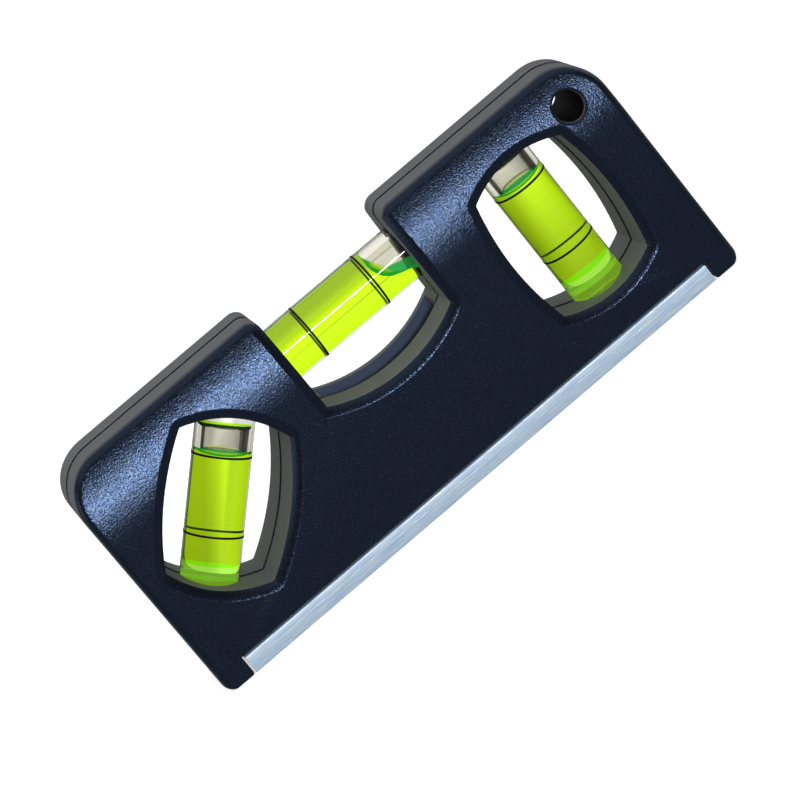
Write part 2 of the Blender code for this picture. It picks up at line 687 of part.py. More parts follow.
def window_vial(prefix, matrix, shades):
    """One of the two upright vials: blind end up, plug below, and the bubble standing on the liquid."""
    tube = tube_profile(WINDOW_TUBE_LOW, WINDOW_TUBE_HIGH, WINDOW_CHAMBER_HALF)
    turned_piece(prefix + "_tube", tube, TUBE_SEGMENTS, shades["clear_acrylic"], matrix)
    plug = plug_profile(-WINDOW_CHAMBER_HALF)
    turned_piece(prefix + "_plug", plug, FILL_SEGMENTS, shades["plug_acrylic"], matrix)

    low = -WINDOW_CHAMBER_HALF + FILL_GAP
    surface = WINDOW_MENISCUS - FILL_GAP
    mid_radius = FILL_RADIUS * MENISCUS_MID_SHARE
    mid_sag = MENISCUS_SAG * MENISCUS_MID_SHARE
    liquid = [
        (0.0, low),
        (FILL_RADIUS, low),
        (FILL_RADIUS, surface),
        (mid_radius, surface - mid_sag),
        (0.0, surface - MENISCUS_SAG),
    ]
    turned_piece(prefix + "_liquid", liquid, FILL_SEGMENTS, shades["spirit_liquid"], matrix)

    top = WINDOW_BUBBLE_LENGTH - FILL_GAP
    bubble = [
        (0.0, -MENISCUS_SAG),
        (mid_radius, -mid_sag),
        (FILL_RADIUS, 0.0),
        (FILL_RADIUS, top - BUBBLE_CORNER),
        (FILL_RADIUS - BUBBLE_CORNER, top),
        (0.0, top),
    ]
    place = matrix @ along_axis(WINDOW_MENISCUS)
    turned_piece(prefix + "_bubble", bubble, FILL_SEGMENTS, shades["air_bubble"], place)
    ring_lines(prefix, 0.0, shades, matrix)


def level_vial(matrix, shades):
    """The vial along the base, with the slanted surface that its liquid has while the tool is on a slope."""
    tube = tube_profile(-LEVEL_TUBE_HALF_LENGTH, LEVEL_TUBE_HALF_LENGTH, LEVEL_BORE_END)
    turned_piece("level_tube", tube, TUBE_SEGMENTS, shades["clear_acrylic"], matrix)
    plug = plug_profile(LEVEL_PLUG_FACE)
    turned_piece("level_plug", plug, FILL_SEGMENTS, shades["plug_acrylic"], matrix)

    low = LEVEL_PLUG_FACE + FILL_GAP
    surface = LEVEL_MENISCUS - FILL_GAP
    liquid = [(0.0, low), (FILL_RADIUS, low), (FILL_RADIUS, surface), (0.0, surface)]
    slant = (2, LEVEL_MENISCUS_SLOPE)
    turned_piece("level_liquid", liquid, FILL_SEGMENTS, shades["spirit_liquid"], matrix, lean=slant)

    top = LEVEL_BUBBLE_LENGTH - FILL_GAP
    bubble = [
        (0.0, 0.0),
        (FILL_RADIUS, 0.0),
        (FILL_RADIUS, top - BUBBLE_CORNER),
        (FILL_RADIUS - BUBBLE_CORNER, top),
        (0.0, top),
    ]
    slant = (1, LEVEL_MENISCUS_SLOPE)
    place = matrix @ along_axis(LEVEL_MENISCUS)
    turned_piece("level_bubble", bubble, FILL_SEGMENTS, shades["air_bubble"], place, lean=slant)
    ring_lines("level", LEVEL_RING_SHIFT, shades, matrix)


def pocket_cutter(name, matrix, low, high):
    """The seat of one vial in both shells, with the touching gap all round."""
    low, high = low - TOUCH_GAP, high + TOUCH_GAP
    profile = [(0.0, low), (POCKET_RADIUS, low), (POCKET_RADIUS, high), (0.0, high)]
    made = finish_mesh(name, turned_mesh(profile, TUBE_SEGMENTS))
    made.matrix_world = matrix
    return hide_helper(made)


def vial_pockets(label):
    level_end, low, high = LEVEL_TUBE_HALF_LENGTH, WINDOW_TUBE_LOW, WINDOW_TUBE_HIGH
    return [
        pocket_cutter(f"{label}_level_pocket", level_frame(), -level_end, level_end),
        pocket_cutter(f"{label}_plumb_pocket", plumb_frame(), low, high),
        pocket_cutter(f"{label}_angle_pocket", angle_frame(), low, high),
    ]


def cavity_outline():
    """The hollow inside one shell before walls, bosses and cradles are kept out of it."""
    wall_x = NOTCH_HALF_WIDTH + NOTCH_WALL
    floor = notch_floor(wall_x, NOTCH_FLOOR_RADIUS + FLOOR_BLOCK_THICKNESS)
    end_x = HALF_LENGTH - END_WALL
    top = BODY_HEIGHT - TOP_WALL
    corners = [
        ((-end_x, CAVITY_FLOOR_Z), CAVITY_SMALL_RADIUS, None),
        ((end_x, CAVITY_FLOOR_Z), CAVITY_SMALL_RADIUS, None),
        ((end_x, top), CAVITY_CORNER_RADIUS, None),
        ((wall_x, top), CAVITY_SMALL_RADIUS, None),
        (floor, 0.0, None),
        ((-wall_x, top), CAVITY_SMALL_RADIUS, None),
        ((-end_x, top), CAVITY_CORNER_RADIUS, None),
    ]
    return [(x, z, 0.0, 0.0, False) for x, z, _ in corner_loop(corners)]


def cradle_loops():
    """Blocks that hold the vial ends, as loops of (x, z)."""
    wall = CRADLE_END_WALL + TOUCH_GAP
    half = POCKET_RADIUS + CRADLE_SIDE_WALL
    low_z, high_z = LEVEL_VIAL_Z - half, LEVEL_VIAL_Z + half
    inner = NOTCH_HALF_WIDTH + NOTCH_WALL / 2
    outer = LEVEL_TUBE_HALF_LENGTH + wall
    loops = [box_loop(inner, low_z, outer, high_z), box_loop(-outer, low_z, -inner, high_z)]
    windows = ((PLUMB_WINDOW, PLUMB_RING_SHIFT, 0.0), (ANGLE_WINDOW, ANGLE_RING_SHIFT, ANGLE_TILT))
    for centre, shift, tilt in windows:
        top = shift + WINDOW_TUBE_HIGH + wall
        low = shift + WINDOW_TUBE_LOW - wall
        loops.append(turned_loop(box_loop(-half, WINDOW_HALF_LENGTH, half, top), centre, tilt))
        loops.append(turned_loop(box_loop(-half, low, half, -WINDOW_HALF_LENGTH), centre, tilt))
    return loops


def rib_loops():
    """Low ribs under the notch: uprights and one long rib across them."""
    half = RIB_THICKNESS / 2
    low_z = FLANGE_TOP_Z + TOUCH_GAP + RIB_LOW_CLEARANCE
    high_z = NOTCH_FLOOR_Z - RIB_TOP_DROP
    places = [share * NOTCH_HALF_WIDTH for share in RIB_PLACE_SHARES]
    loops = [box_loop(x - half, low_z, x + half, high_z) for x in places]
    reach = CROSS_RIB_HALF_LENGTH
    loops.append(box_loop(-reach, CROSS_RIB_Z - half, reach, CROSS_RIB_Z + half))
    return loops


def kept_solids(label, side):
    """Everything that stays solid inside the hollow of one shell."""
    outside, beyond = side * (HALF_THICKNESS + OVER), -side * 2 * OVER
    rib_y = side * (HALF_THICKNESS - PLATE_THICKNESS - RIB_HEIGHT_Y)
    boss_wall = FRONT_BOSS_WALL if side == FRONT else REAR_BOSS_WALL
    hole_for_screw = SCREW_HOLE_RADIUS if side == FRONT else COUNTERBORE_RADIUS
    loops = [
        turned_loop(barrel_loop(WINDOW_WALL), PLUMB_WINDOW, 0.0),
        turned_loop(barrel_loop(WINDOW_WALL), ANGLE_WINDOW, ANGLE_TILT),
        circle_loop(*HOLE, HOLE_RADIUS + HOLE_TUBE_WALL, HOLE_SEGMENTS),
    ]
    loops += cradle_loops()
    loops += [circle_loop(*place, hole_for_screw + boss_wall, BOSS_SEGMENTS) for place in SCREW_PLACES]
    loops += [circle_loop(*place, PIN_RADIUS + TOUCH_GAP + SOCKET_WALL, PIN_SEGMENTS) for place in PIN_PLACES]
    kept = [prism(f"{label}_core_{i}", loop, outside, beyond) for i, loop in enumerate(loops)]
    kept += [prism(f"{label}_rib_{i}", loop, outside, rib_y) for i, loop in enumerate(rib_loops())]
    return kept


def tongue_slots(label, side):
    """Clearance for the neck and the flange of the rail's T tongue."""
    half = TONGUE_HALF_LENGTH + TOUCH_GAP
    neck_y = side * (NECK_WIDTH / 2 + TOUCH_GAP)
    flange_y = side * (FLANGE_WIDTH / 2 + TOUCH_GAP)
    neck = box_loop(-half, SEAT_Z - OVER, half, NECK_TOP_Z)
    flange = box_loop(-half, CAVITY_FLOOR_Z, half, FLANGE_TOP_Z + TOUCH_GAP)
    return [
        prism(f"{label}_neck_slot", neck, neck_y, -side * OVER),
        prism(f"{label}_flange_slot", flange, flange_y, -side * OVER),
    ]


def floor_slot():
    """The sunk band in the notch floor of the rear shell."""
    half = NOTCH_HALF_WIDTH - FLOOR_SLOT_END_STRIP
    low = notch_floor(half, NOTCH_FLOOR_RADIUS + FLOOR_SLOT_DEPTH)
    high = notch_floor(half, NOTCH_FLOOR_RADIUS - OVER)
    return prism(
        "floor_slot", low + high[::-1], FLOOR_SLOT_FRONT_Y - OVER, HALF_THICKNESS - FLOOR_SLOT_REAR_STRIP
    )


def rear_fastener_cutters():
    """Counterbores and clearance holes for the screws, and the sockets of the locating pins."""
    outside = HALF_THICKNESS + OVER
    socket_end = PIN_REACH_Y + PIN_TIP_CLEARANCE
    socket_radius = PIN_RADIUS + TOUCH_GAP
    cutters = []
    for i, place in enumerate(SCREW_PLACES):
        cutters += [
            round_cutter(f"head_{i}", place, COUNTERBORE_RADIUS, outside, COUNTERBORE_FLOOR_Y, BOSS_SEGMENTS),
            round_cutter(f"clearance_{i}", place, SCREW_HOLE_RADIUS, outside, -OVER, BOSS_SEGMENTS),
        ]
    for i, place in enumerate(PIN_PLACES):
        cutters.append(round_cutter(f"socket_{i}", place, socket_radius, -OVER, socket_end, PIN_SEGMENTS))
    return cutters


def half_shell(name, side, shade):
    """One moulded half: crowned outside and hollow inside, with walls, cradles, bosses and ribs."""
    shell = crowned_solid(name, body_outline(), EDGE_STEPS, side, side * TOUCH_GAP / 2, 0.0)
    shell.data.materials.append(shade)
    shell.data.shade_smooth()
    shell.data.set_sharp_from_angle(angle=SHELL_SMOOTH_ANGLE)

    hollow = crowned_solid(name + "_hollow", cavity_outline(), 0, side, -side * OVER, PLATE_THICKNESS)
    hide_helper(hollow)
    boolean(hollow, name + "_kept", "DIFFERENCE", kept_solids(name, side))
    boolean(shell, name + "_hollowing", "DIFFERENCE", [hollow])

    cutters = [
        window_cutter(name + "_plumb_window", PLUMB_WINDOW, 0.0, side),
        window_cutter(name + "_angle_window", ANGLE_WINDOW, ANGLE_TILT, side),
        hole_cutter(name + "_hole", side),
    ]
    cutters += tongue_slots(name, side) + vial_pockets(name)
    if side == REAR:
        cutters += [floor_slot()] + rear_fastener_cutters()
    else:
        cutters += [
            round_cutter(f"pilot_{i}", place, SCREW_HOLE_RADIUS, OVER, -PILOT_END_Y, BOSS_SEGMENTS)
            for i, place in enumerate(SCREW_PLACES)
        ]
    boolean(shell, name + "_cuts", "DIFFERENCE", cutters)
    if side == FRONT:
        pins = [
            round_cutter(f"pin_{i}", place, PIN_RADIUS, -OVER, PIN_REACH_Y, PIN_SEGMENTS)
            for i, place in enumerate(PIN_PLACES)
        ]
        boolean(shell, name + "_pins", "UNION", pins)


def run_along_x(name, section, half, shade=None):
    """A solid from a section of (y, z) points, run between -half and half in X."""
    work = bmesh.new()
    near = [work.verts.new((-half, y, z)) for y, z in section]
    far = [work.verts.new((half, y, z)) for y, z in section]
    bridge(work, near, far)
    work.faces.new(near)
    work.faces.new(far)
    return finish_mesh(name, work, shade)


def mirrored(points):
    """A section from its half at -Y, listed outwards from the middle, and the mirror image of that half."""
    return points + [(-y, z) for y, z in reversed(points)]


def base_rail(shade):
    """The extruded rail: a channelled plate, and a tongue milled back at both ends."""
    b = RAIL_EDGE_BREAK
    y, top, channel = HALF_THICKNESS, RAIL_HEIGHT, CHANNEL_WIDTH / 2
    plate = mirrored(
        [(-channel, CHANNEL_DEPTH), (-channel, 0.0), (-y + b, 0.0), (-y, b), (-y, top - b), (-y + b, top)]
    )
    neck, flange = NECK_WIDTH / 2, FLANGE_WIDTH / 2
    root = (RAIL_HEIGHT + CHANNEL_DEPTH) / 2
    tongue = mirrored([(-neck, root), (-neck, NECK_TOP_Z), (-flange, NECK_TOP_Z), (-flange, FLANGE_TOP_Z)])
    rail = run_along_x("base_rail", plate, RAIL_HALF_LENGTH, shade)
    boolean(rail, "rail_join", "UNION", [hide_helper(run_along_x("rail_tongue", tongue, TONGUE_HALF_LENGTH))])


def magnet_strip(shade):
    """The strip in the rail's channel, a little short of the resting face."""
    half = CHANNEL_WIDTH / 2 - TOUCH_GAP
    low, high = MAGNET_RECESS, CHANNEL_DEPTH - TOUCH_GAP
    section = [(-half, low), (half, low), (half, high), (-half, high)]
    run_along_x("magnet_strip", section, MAGNET_HALF_LENGTH, shade)


def screw_profile():
    """One self-tapping screw from its domed head (at height zero and above) to its tip."""
    top = SCREW_HEAD_HEIGHT
    dome_z = top - SCREW_HEAD_DOME * SCREW_DOME_DROP_SHARE
    points = [
        (0.0, top),
        (SCREW_HEAD_RADIUS * SCREW_DOME_RADIUS_SHARE, dome_z),
        (SCREW_HEAD_RADIUS, top - SCREW_HEAD_DOME),
        (SCREW_HEAD_RADIUS, 0.0),
        (SCREW_SHANK_RADIUS, 0.0),
    ]
    for i in range(SCREW_THREADS):
        z = -SCREW_PLAIN - i * SCREW_THREAD_PITCH
        points += [
            (SCREW_SHANK_RADIUS, z),
            (SCREW_THREAD_RADIUS, z - SCREW_THREAD_PITCH * THREAD_CREST_SHARE),
            (SCREW_SHANK_RADIUS, z - SCREW_THREAD_PITCH * THREAD_FOOT_SHARE),
        ]
    return points + [(SCREW_SHANK_RADIUS, -SCREW_LENGTH + SCREW_TIP), (0.0, -SCREW_LENGTH)]


def recess_cutters():
    """Two crossed bars that sink the driver recess into the screw head."""
    bars = []
    tall = RECESS_DEPTH + OVER
    middle = SCREW_HEAD_HEIGHT - RECESS_DEPTH + tall / 2
    for name, wide, deep in (("bar_a", RECESS_SPAN, RECESS_WIDTH), ("bar_b", RECESS_WIDTH, RECESS_SPAN)):
        work = bmesh.new()
        place = Matrix.Translation((0.0, 0.0, middle)) @ Matrix.Diagonal((wide, deep, tall, 1.0))
        bmesh.ops.create_cube(work, size=1.0, matrix=place)
        bars.append(hide_helper(finish_mesh(name, work)))
    return bars


def housing_screws(shade):
    """The housing screws: one mesh with its recess cut, placed once at each boss."""
    pattern = finish_mesh("screw_pattern", turned_mesh(screw_profile(), SCREW_SEGMENTS), shade, SMOOTH_ANGLE)
    boolean(pattern, "screw_recess", "DIFFERENCE", recess_cutters())
    hide_helper(pattern)
    graph = bpy.context.evaluated_depsgraph_get()
    mesh = bpy.data.meshes.new_from_object(pattern.evaluated_get(graph))
    mesh.name = "housing_screw"
    for number, (x, z) in enumerate(SCREW_PLACES, start=1):
        screw = bpy.data.objects.new(f"housing_screw_{number}", mesh)
        bpy.context.scene.collection.objects.link(screw)
        screw.matrix_world = Matrix.Translation((x, SCREW_SEAT_Y, z)) @ Matrix.Rotation(-math.pi / 2, 4, "X")


def main():
    clear_scene()
    shades = make_materials()
    half_shell("front_shell", FRONT, shades["navy_plastic"])
    half_shell("rear_shell", REAR, shades["navy_plastic"])
    base_rail(shades["brushed_aluminium"])
    magnet_strip(shades["magnet_rubber"])
    level_vial(level_frame(), shades)
    window_vial("plumb", plumb_frame(), shades)
    window_vial("angle", angle_frame(), shades)
    housing_screws(shades["plated_steel"])


main()
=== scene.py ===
"""Looks of the mini magnetic level: moulded shells, clear vials with their spirit, rail, magnet and screws.

Lengths are metres in the shared frame: X along the base, Z up from the resting face, and the photographed
side towards -Y. The shapes follow the same sizes as the part's source, at a finer pitch.
"""

import math
from collections import namedtuple

import bmesh
import bpy
from mathutils import Matrix, Vector
from mathutils.geometry import delaunay_2d_cdt


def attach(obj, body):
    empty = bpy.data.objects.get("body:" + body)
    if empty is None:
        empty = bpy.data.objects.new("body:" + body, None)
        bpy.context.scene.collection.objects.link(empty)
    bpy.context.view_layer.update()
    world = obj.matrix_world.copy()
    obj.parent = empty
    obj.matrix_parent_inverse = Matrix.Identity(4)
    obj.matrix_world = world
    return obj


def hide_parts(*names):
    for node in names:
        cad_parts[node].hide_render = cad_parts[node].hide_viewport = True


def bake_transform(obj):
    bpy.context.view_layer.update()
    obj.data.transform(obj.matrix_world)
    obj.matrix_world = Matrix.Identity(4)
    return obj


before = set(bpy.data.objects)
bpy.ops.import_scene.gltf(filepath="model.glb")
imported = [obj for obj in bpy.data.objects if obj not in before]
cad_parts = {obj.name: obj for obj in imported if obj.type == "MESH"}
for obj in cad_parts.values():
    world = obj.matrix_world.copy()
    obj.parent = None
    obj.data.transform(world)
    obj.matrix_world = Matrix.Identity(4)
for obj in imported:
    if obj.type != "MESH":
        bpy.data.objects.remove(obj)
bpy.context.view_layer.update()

# Sides of the housing along Y
FRONT = -1
REAR = 1

# Body envelope and the clearance between pieces that touch
HALF_LENGTH = 0.05525
HALF_THICKNESS = 0.0100
BODY_HEIGHT = 0.0452
TOUCH_GAP = 0.0003
OVER = 0.0010

# Crown of the faces
CROWN_START = 0.0310
CROWN_RADIUS = 0.0330
CROWN_ROWS = 22

# Corners and edges of the outline
TOP_CORNER_RADIUS = 0.0080
FOOT_CORNER_RADIUS = 0.0020
FOOT_INNER_RADIUS = 0.0005
SHOULDER_RADIUS = 0.0022
SHOULDER_FLARE_SHARE = 0.5
EDGE_ROUND = 0.0014
BASE_ROUND = 0.00025
PARTING_SLOT_HALF = 0.00010
PARTING_SLOT_DEPTH = 0.00030
PARTING_HALF_GAP = 0.00001
PARTING_STEP = 0.00018
PARTING_STEP_RUN = 0.0012
WINDOW_SLOT_HALF = 0.00009
SEAT_GAP = 0.00005

# Base: feet, rail, tongue and magnet
FOOT_INNER_X = 0.0499
SEAT_Z = 0.0036
RAIL_HALF_LENGTH = 0.0496
RAIL_HEIGHT = 0.0033
RAIL_EDGE_ROUND = 0.0003
RAIL_SOFT_EDGE = 0.00008
RAIL_GROOVE_Z = 0.00205
RAIL_GROOVE_DEPTH = 0.00007
RAIL_GROOVE_HALF = 0.00010
TONGUE_HALF_LENGTH = 0.0420
NECK_WIDTH = 0.0060
NECK_TOP_Z = 0.0055
FLANGE_WIDTH = 0.0110
FLANGE_TOP_Z = 0.0065
CHANNEL_WIDTH = 0.0126
CHANNEL_DEPTH = 0.0017

# Vials
TUBE_RADIUS = 0.0050
BORE_RADIUS = 0.0032
TUBE_EDGE_ROUND = 0.00030
CORE_GAP = 0.00002
BUBBLE_CORNER = 0.0006
MENISCUS_SHARES = (1.0, 0.97, 0.92, 0.85, 0.75, 0.65, 0.55, 0.45, 0.35, 0.25, 0.15, 0.0)
MENISCUS_CLIMB_SHARE = 0.75
FLAT_LEAN = ((-1.0, 0.0), (1.0, 0.0))
RING_SPACING = 0.0132
RING_WIDTH = 0.00038
RING_THICKNESS = 0.00004
RING_GAP = 0.00002
PLUG_LENGTH = 0.0023
PLUG_GROOVE_START = 0.0009
PLUG_GROOVE_WIDTH = 0.0005
PLUG_GROOVE_DEPTH = 0.00035
FILM = 0.00005

# Level vial
LEVEL_VIAL_Z = 0.03555
LEVEL_TUBE_END = 0.0175
LEVEL_BORE_END = 0.0155
LEVEL_PLUG_FACE = -0.0132
LEVEL_SURFACE = 0.0071
LEVEL_SAG = 0.0018
LEVEL_LEAN = (
    (-1.0, 0.0),
    (-0.70, 0.0009),
    (-0.38, 0.0014),
    (0.15, 0.0025),
    (0.36, 0.0034),
    (0.50, 0.0048),
    (0.59, 0.0062),
    (0.68, 0.0070),
    (1.0, 0.0075),
)
LEVEL_RING_SHIFT = -0.00057

# Window vials, placed by the middle of their ring lines
WINDOW_TUBE_LOW = -0.0166
WINDOW_TUBE_HIGH = 0.0152
WINDOW_CHAMBER_HALF = 0.0117
WINDOW_SURFACE = 0.0070
WINDOW_SAG = 0.0006
WINDOW_CLIMB = 0.0004
PLUMB_RING_SHIFT = 0.00135
ANGLE_RING_SHIFT = 0.0003

# Notch for the level vial and the sunk band in its floor
NOTCH_HALF_WIDTH = 0.0132
NOTCH_FLOOR_RADIUS = 0.0269
NOTCH_CENTRE_Z = 0.04965
FLOOR_SLOT_HALF = 0.0122
FLOOR_SLOT_FRONT_Y = 0.0002
FLOOR_SLOT_BACK_Y = 0.0072
FLOOR_SLOT_DEPTH = 0.0024

# Windows and the rim that leads from the face into them and into the notch
WINDOW_HALF_WIDTH = 0.0090
WINDOW_HALF_LENGTH = 0.0119
WINDOW_SIDE_BULGE = 0.0015
WINDOW_END_BULGE = 0.0023
WINDOW_CORNER_RADIUS = 0.0006
WINDOW_DRAFTS = {FRONT: 0.0, REAR: 0.00022}
RIM_WIDTH = 0.0017
RIM_DEPTH = 0.0010
RIM_OUTER_SLOPE = 0.28
PLUMB_WINDOW = (0.03525, 0.02375)
ANGLE_WINDOW = (-0.0357, 0.0245)
ANGLE_TILT = math.radians(45)

# Hanging hole
HOLE = (0.0482, 0.0384)
HOLE_RADIUS = 0.0026
HOLE_FLARE = 0.0006
HOLE_FLARE_START = math.radians(10)

# Housing screws
SCREW_PLACES = (
    (-0.0490, 0.0390),
    (-0.0229, 0.0403),
    (0.0219, 0.0403),
    (-0.05055, 0.0103),
    (0.0, 0.0127),
    (0.05055, 0.0103),
)
SCREW_SEAT_Y = 0.0033
SCREW_HEAD_RADIUS = 0.0025
SCREW_HEAD_HEIGHT = 0.0016
SCREW_HEAD_ROUND = 0.0008
SCREW_SHANK_RADIUS = 0.0010
SCREW_THREAD_RADIUS = 0.0013
SCREW_HOLE_RADIUS = 0.0016
SCREW_THREAD_PITCH = 0.0018
SCREW_THREADS = 4
THREAD_CREST_SHARE = 0.3
THREAD_FOOT_SHARE = 0.6
SCREW_PLAIN = 0.0014
SCREW_LENGTH = 0.0100
SCREW_TIP = 0.0012
SCREW_TURN = math.radians(37)
COUNTERBORE_RADIUS = 0.0028
COUNTERBORE_FLOOR_Y = 0.0030
PILOT_END_Y = 0.0076
RECESS_WIDTH = 0.0010
RECESS_SPAN = 0.0034
RECESS_DEPTH = 0.0012
RECESS_FLOOR_SPAN_SHARE = 0.70
RECESS_FLOOR_WIDTH_SHARE = 0.60
RECESS_SHALLOWEST_SHARE = 0.12
RECESS_DEEPEST_SHARE = 1.1

# The three vials: place of the middle, tilt from upright, shift along the axis, ends of the rod, face of the
# plug, blind end of the bore, height of the spirit, its sag, climb and lean, and middle of the ring lines
LEVEL_ROD = (-LEVEL_TUBE_END, LEVEL_TUBE_END, LEVEL_PLUG_FACE, LEVEL_BORE_END)
LEVEL_SPIRIT = (LEVEL_SURFACE, LEVEL_SAG, 0.0, LEVEL_LEAN)
WINDOW_ROD = (WINDOW_TUBE_LOW, WINDOW_TUBE_HIGH, -WINDOW_CHAMBER_HALF, WINDOW_CHAMBER_HALF)
WINDOW_SPIRIT = (WINDOW_SURFACE, WINDOW_SAG, WINDOW_CLIMB, FLAT_LEAN)
Vial = namedtuple("Vial", "name place tilt shift low high face end surface sag climb lean rings")
VIALS = (
    Vial("level", (0.0, LEVEL_VIAL_Z), math.pi / 2, 0.0, *LEVEL_ROD, *LEVEL_SPIRIT, LEVEL_RING_SHIFT),
    Vial("plumb", PLUMB_WINDOW, 0.0, PLUMB_RING_SHIFT, *WINDOW_ROD, *WINDOW_SPIRIT, 0.0),
    Vial("angle", ANGLE_WINDOW, ANGLE_TILT, ANGLE_RING_SHIFT, *WINDOW_ROD, *WINDOW_SPIRIT, 0.0),
)

# Pitch of the curves
ARC_STEP = math.radians(6)
EDGE_STEPS = 8
RIM_STEPS = 8
FLOOR_STEPS = 30
SIDE_STEPS = 16
CORNER_STEPS = 4
RAIL_ARC_STEPS = 4
ROD_ARC_STEPS = 2
BUBBLE_ARC_STEPS = 3
SCREW_HEAD_STEPS = 8
SOFT_EDGE_SEGMENTS = 2
SOFT_EDGE_ANGLE = math.radians(40)
ROUND_SEGMENTS = 72
SMALL_SEGMENTS = 40
SMOOTH_ANGLE = math.radians(32)
SAME_PLACE = 0.0000001
ROW_END_SHARE = 0.001
SHARPEST_MITRE = 0.2

# Slots of the pieces that carry several materials
HOLE_SHADE = 1
SLOT_SHADE = 2
BORE_SHADE = 1
GLUE_SHADE = 2
SURFACE_SHADE = 1
RECESS_SHADE = 1

# Linear colours, or a low and a high tone that a material varies between
PALETTE = {
    "soot": ((0.0022, 0.0025, 0.0036), (0.0040, 0.0045, 0.0062)),
    # Painted light: a lighter navy for the back wall of the notch's sunk band, which lies in shade
    "slot_painted_light": ((0.050, 0.065, 0.120), (0.070, 0.085, 0.150)),
    # Painted light: a lighter warm tone for the side walls, for the light they catch
    "wall": (0.150, 0.145, 0.130),
    "hole_wall": (0.004, 0.004, 0.005),
    "dust": (0.16, 0.17, 0.19),
    "blue_gloss": (0.37, 0.56, 1.0),
    "rail": ((0.52, 0.72, 1.0), (0.84, 0.95, 1.0)),
    "rail_stain": (0.46, 0.56, 0.74),
    "rubber": ((0.028, 0.026, 0.025), (0.055, 0.051, 0.048)),
    "steel": ((0.58, 0.60, 0.66), (0.80, 0.82, 0.88)),
    # Painted shade: a darker steel for the faces down in the cross recesses
    "recess": ((0.05, 0.05, 0.06), (0.12, 0.12, 0.14)),
    "ink": ((0.004, 0.004, 0.004), (0.014, 0.016, 0.010)),
    "rod": (0.985, 0.985, 0.965),
    "air": (0.77, 0.76, 0.69),
    "spirit": (0.79, 0.994, 0.10),
    "spirit_shadow": (0.86, 0.99, 0.25),
    "plug": (0.72, 0.97, 0.35),
    # Painted light: a glow added to the plug as emission
    "plug_painted_glow": (0.07, 0.14, 0.012),
    "glue": (0.80, 0.98, 0.40),
    # Painted light: a glow added to the glue in the vial's foot as emission
    "glue_painted_glow": (0.085, 0.15, 0.008),
    "plug_shadow": (0.9, 1.0, 0.7),
    # Painted reflection and glow on the spirit's surface: square on, then at a slant
    "surface": ((0.55, 0.56, 0.50), (0.015, 0.28, 0.50)),
    "meniscus_painted_glow": ((0.26, 0.28, 0.17), (0.008, 0.22, 0.040)),
    "floor": (0.82, 0.82, 0.82),
    "floor_cast": ((0.82, 0.92, 1.0), (1.0, 0.97, 0.62)),
    "white": (1.0, 1.0, 1.0),
}

# Noise as (scale per metre, detail, roughness), the spread of its values, and its scale along each axis
PLASTIC_MOTTLE = (160.0, 4.0, 0.6)
PLASTIC_GRAIN = (3800.0, 1.0, 0.5)
RAIL_LINES = (7800.0, 3.0, 0.65)
RAIL_BANDS = (5200.0, 3.0, 0.6)
RAIL_STAINS = (140.0, 3.0, 0.55)
RUBBER_GRAIN = (1800.0, 4.0, 0.7)
RUBBER_LINES = (1400.0, 2.0, 0.5)
STEEL_MOTTLE = (1500.0, 4.0, 0.6)
INK_MOTTLE = (2600.0, 3.0, 0.5)
TOOL_HAZE = (900.0, 2.0, 0.5)
NOISE_SPREAD = (0.30, 0.70)
BAND_SPREAD = (0.38, 0.62)
STAIN_SPREAD = (0.55, 0.75)
HAZE_SPREAD = (0.55, 0.80)
RAIL_AXIS_SCALES = (0.035, 1.0, 1.0)
RUBBER_AXIS_SCALES = (0.06, 1.0, 1.0)

# Bumps as (strength, height)
PLASTIC_BUMP = (1.0, 0.000045)
RAIL_BUMP = (0.35, 0.00002)
RUBBER_BUMP = (0.5, 0.00003)
STEEL_BUMP = (0.2, 0.00001)

# Surface values of the materials
WHOLE = (0.0, 1.0)
PLASTIC_IOR = 1.5
PLASTIC_GRAIN_SHARES = (0.65, 1.35)
WALL_ROUGHNESS = 0.75
WALL_TO_FACE = (0.25, 0.60)
SPECK_SCALE = 620.0
SPECK_EDGE = (0.04, 0.075)
SPECK_PICK = (0.993, 0.996)
RAIL_ROUGHNESS = (0.40, 0.56)
RAIL_METAL_SHARE = 0.55
RAIL_ANISOTROPY = 0.5
STAIN_STRENGTH = (0.0, 0.25)
RUBBER_ROUGHNESS = (0.55, 0.75)
STEEL_ROUGHNESS = (0.22, 0.40)
INK_ROUGHNESS = (0.5, 0.7)
INK_SHEEN = 0.2
ACRYLIC_IOR = 1.49
MATCHED_IOR = 1.0
HAZE_ROUGHNESS = (0.0, 0.03)
SURFACE_SLANT = (0.34, 0.52)

# Kinds of moulded plastic: name, specks, roughness, sheen, body colour and wall colour. The slot kind's navy
# body and the light wall tone are painted light
PLASTIC_KINDS = (
    ("moulded_plastic", 0.8, 0.235, 0.80, "soot", "wall"),
    ("matt_plastic", 0.2, 0.60, 0.10, "soot", "hole_wall"),
    ("slot_plastic_painted_light", 0.2, 0.45, 0.50, "slot_painted_light", "wall"),
)

# Floor: brightness for each kind of ray, by place along Y or by reach from a line along Y
FLOOR_SIZE = 6.0
FLOOR_LIFT = 0.62
GLOSS_TONE_Y = (-0.02, 0.04)
GLOSS_TONE = (0.255, 0.42)
GLOSS_CAST_Y = (0.0, 0.03)
THROUGH_TONE_Y = (0.05, 0.15)
THROUGH_TONE = (0.55, 1.25)
FLOOR_POOL_X = 0.015
FLOOR_POOL_REACH = (0.035, 0.08)
FLOOR_POOL_TONE = (1.0, 0.62)

# Surroundings: brightness for each kind of ray, by direction
ROOM_TONE = 0.35
SEEN_TONE = 1.03
BACKDROP_Y = (0.40, 0.85)
BACKDROP_TONE = (0.10, 0.42)
ROOM_POOL_X = 0.05
ROOM_POOL_REACH = (0.12, 0.25)
ROOM_POOL_TONE = (1.2, 0.8)

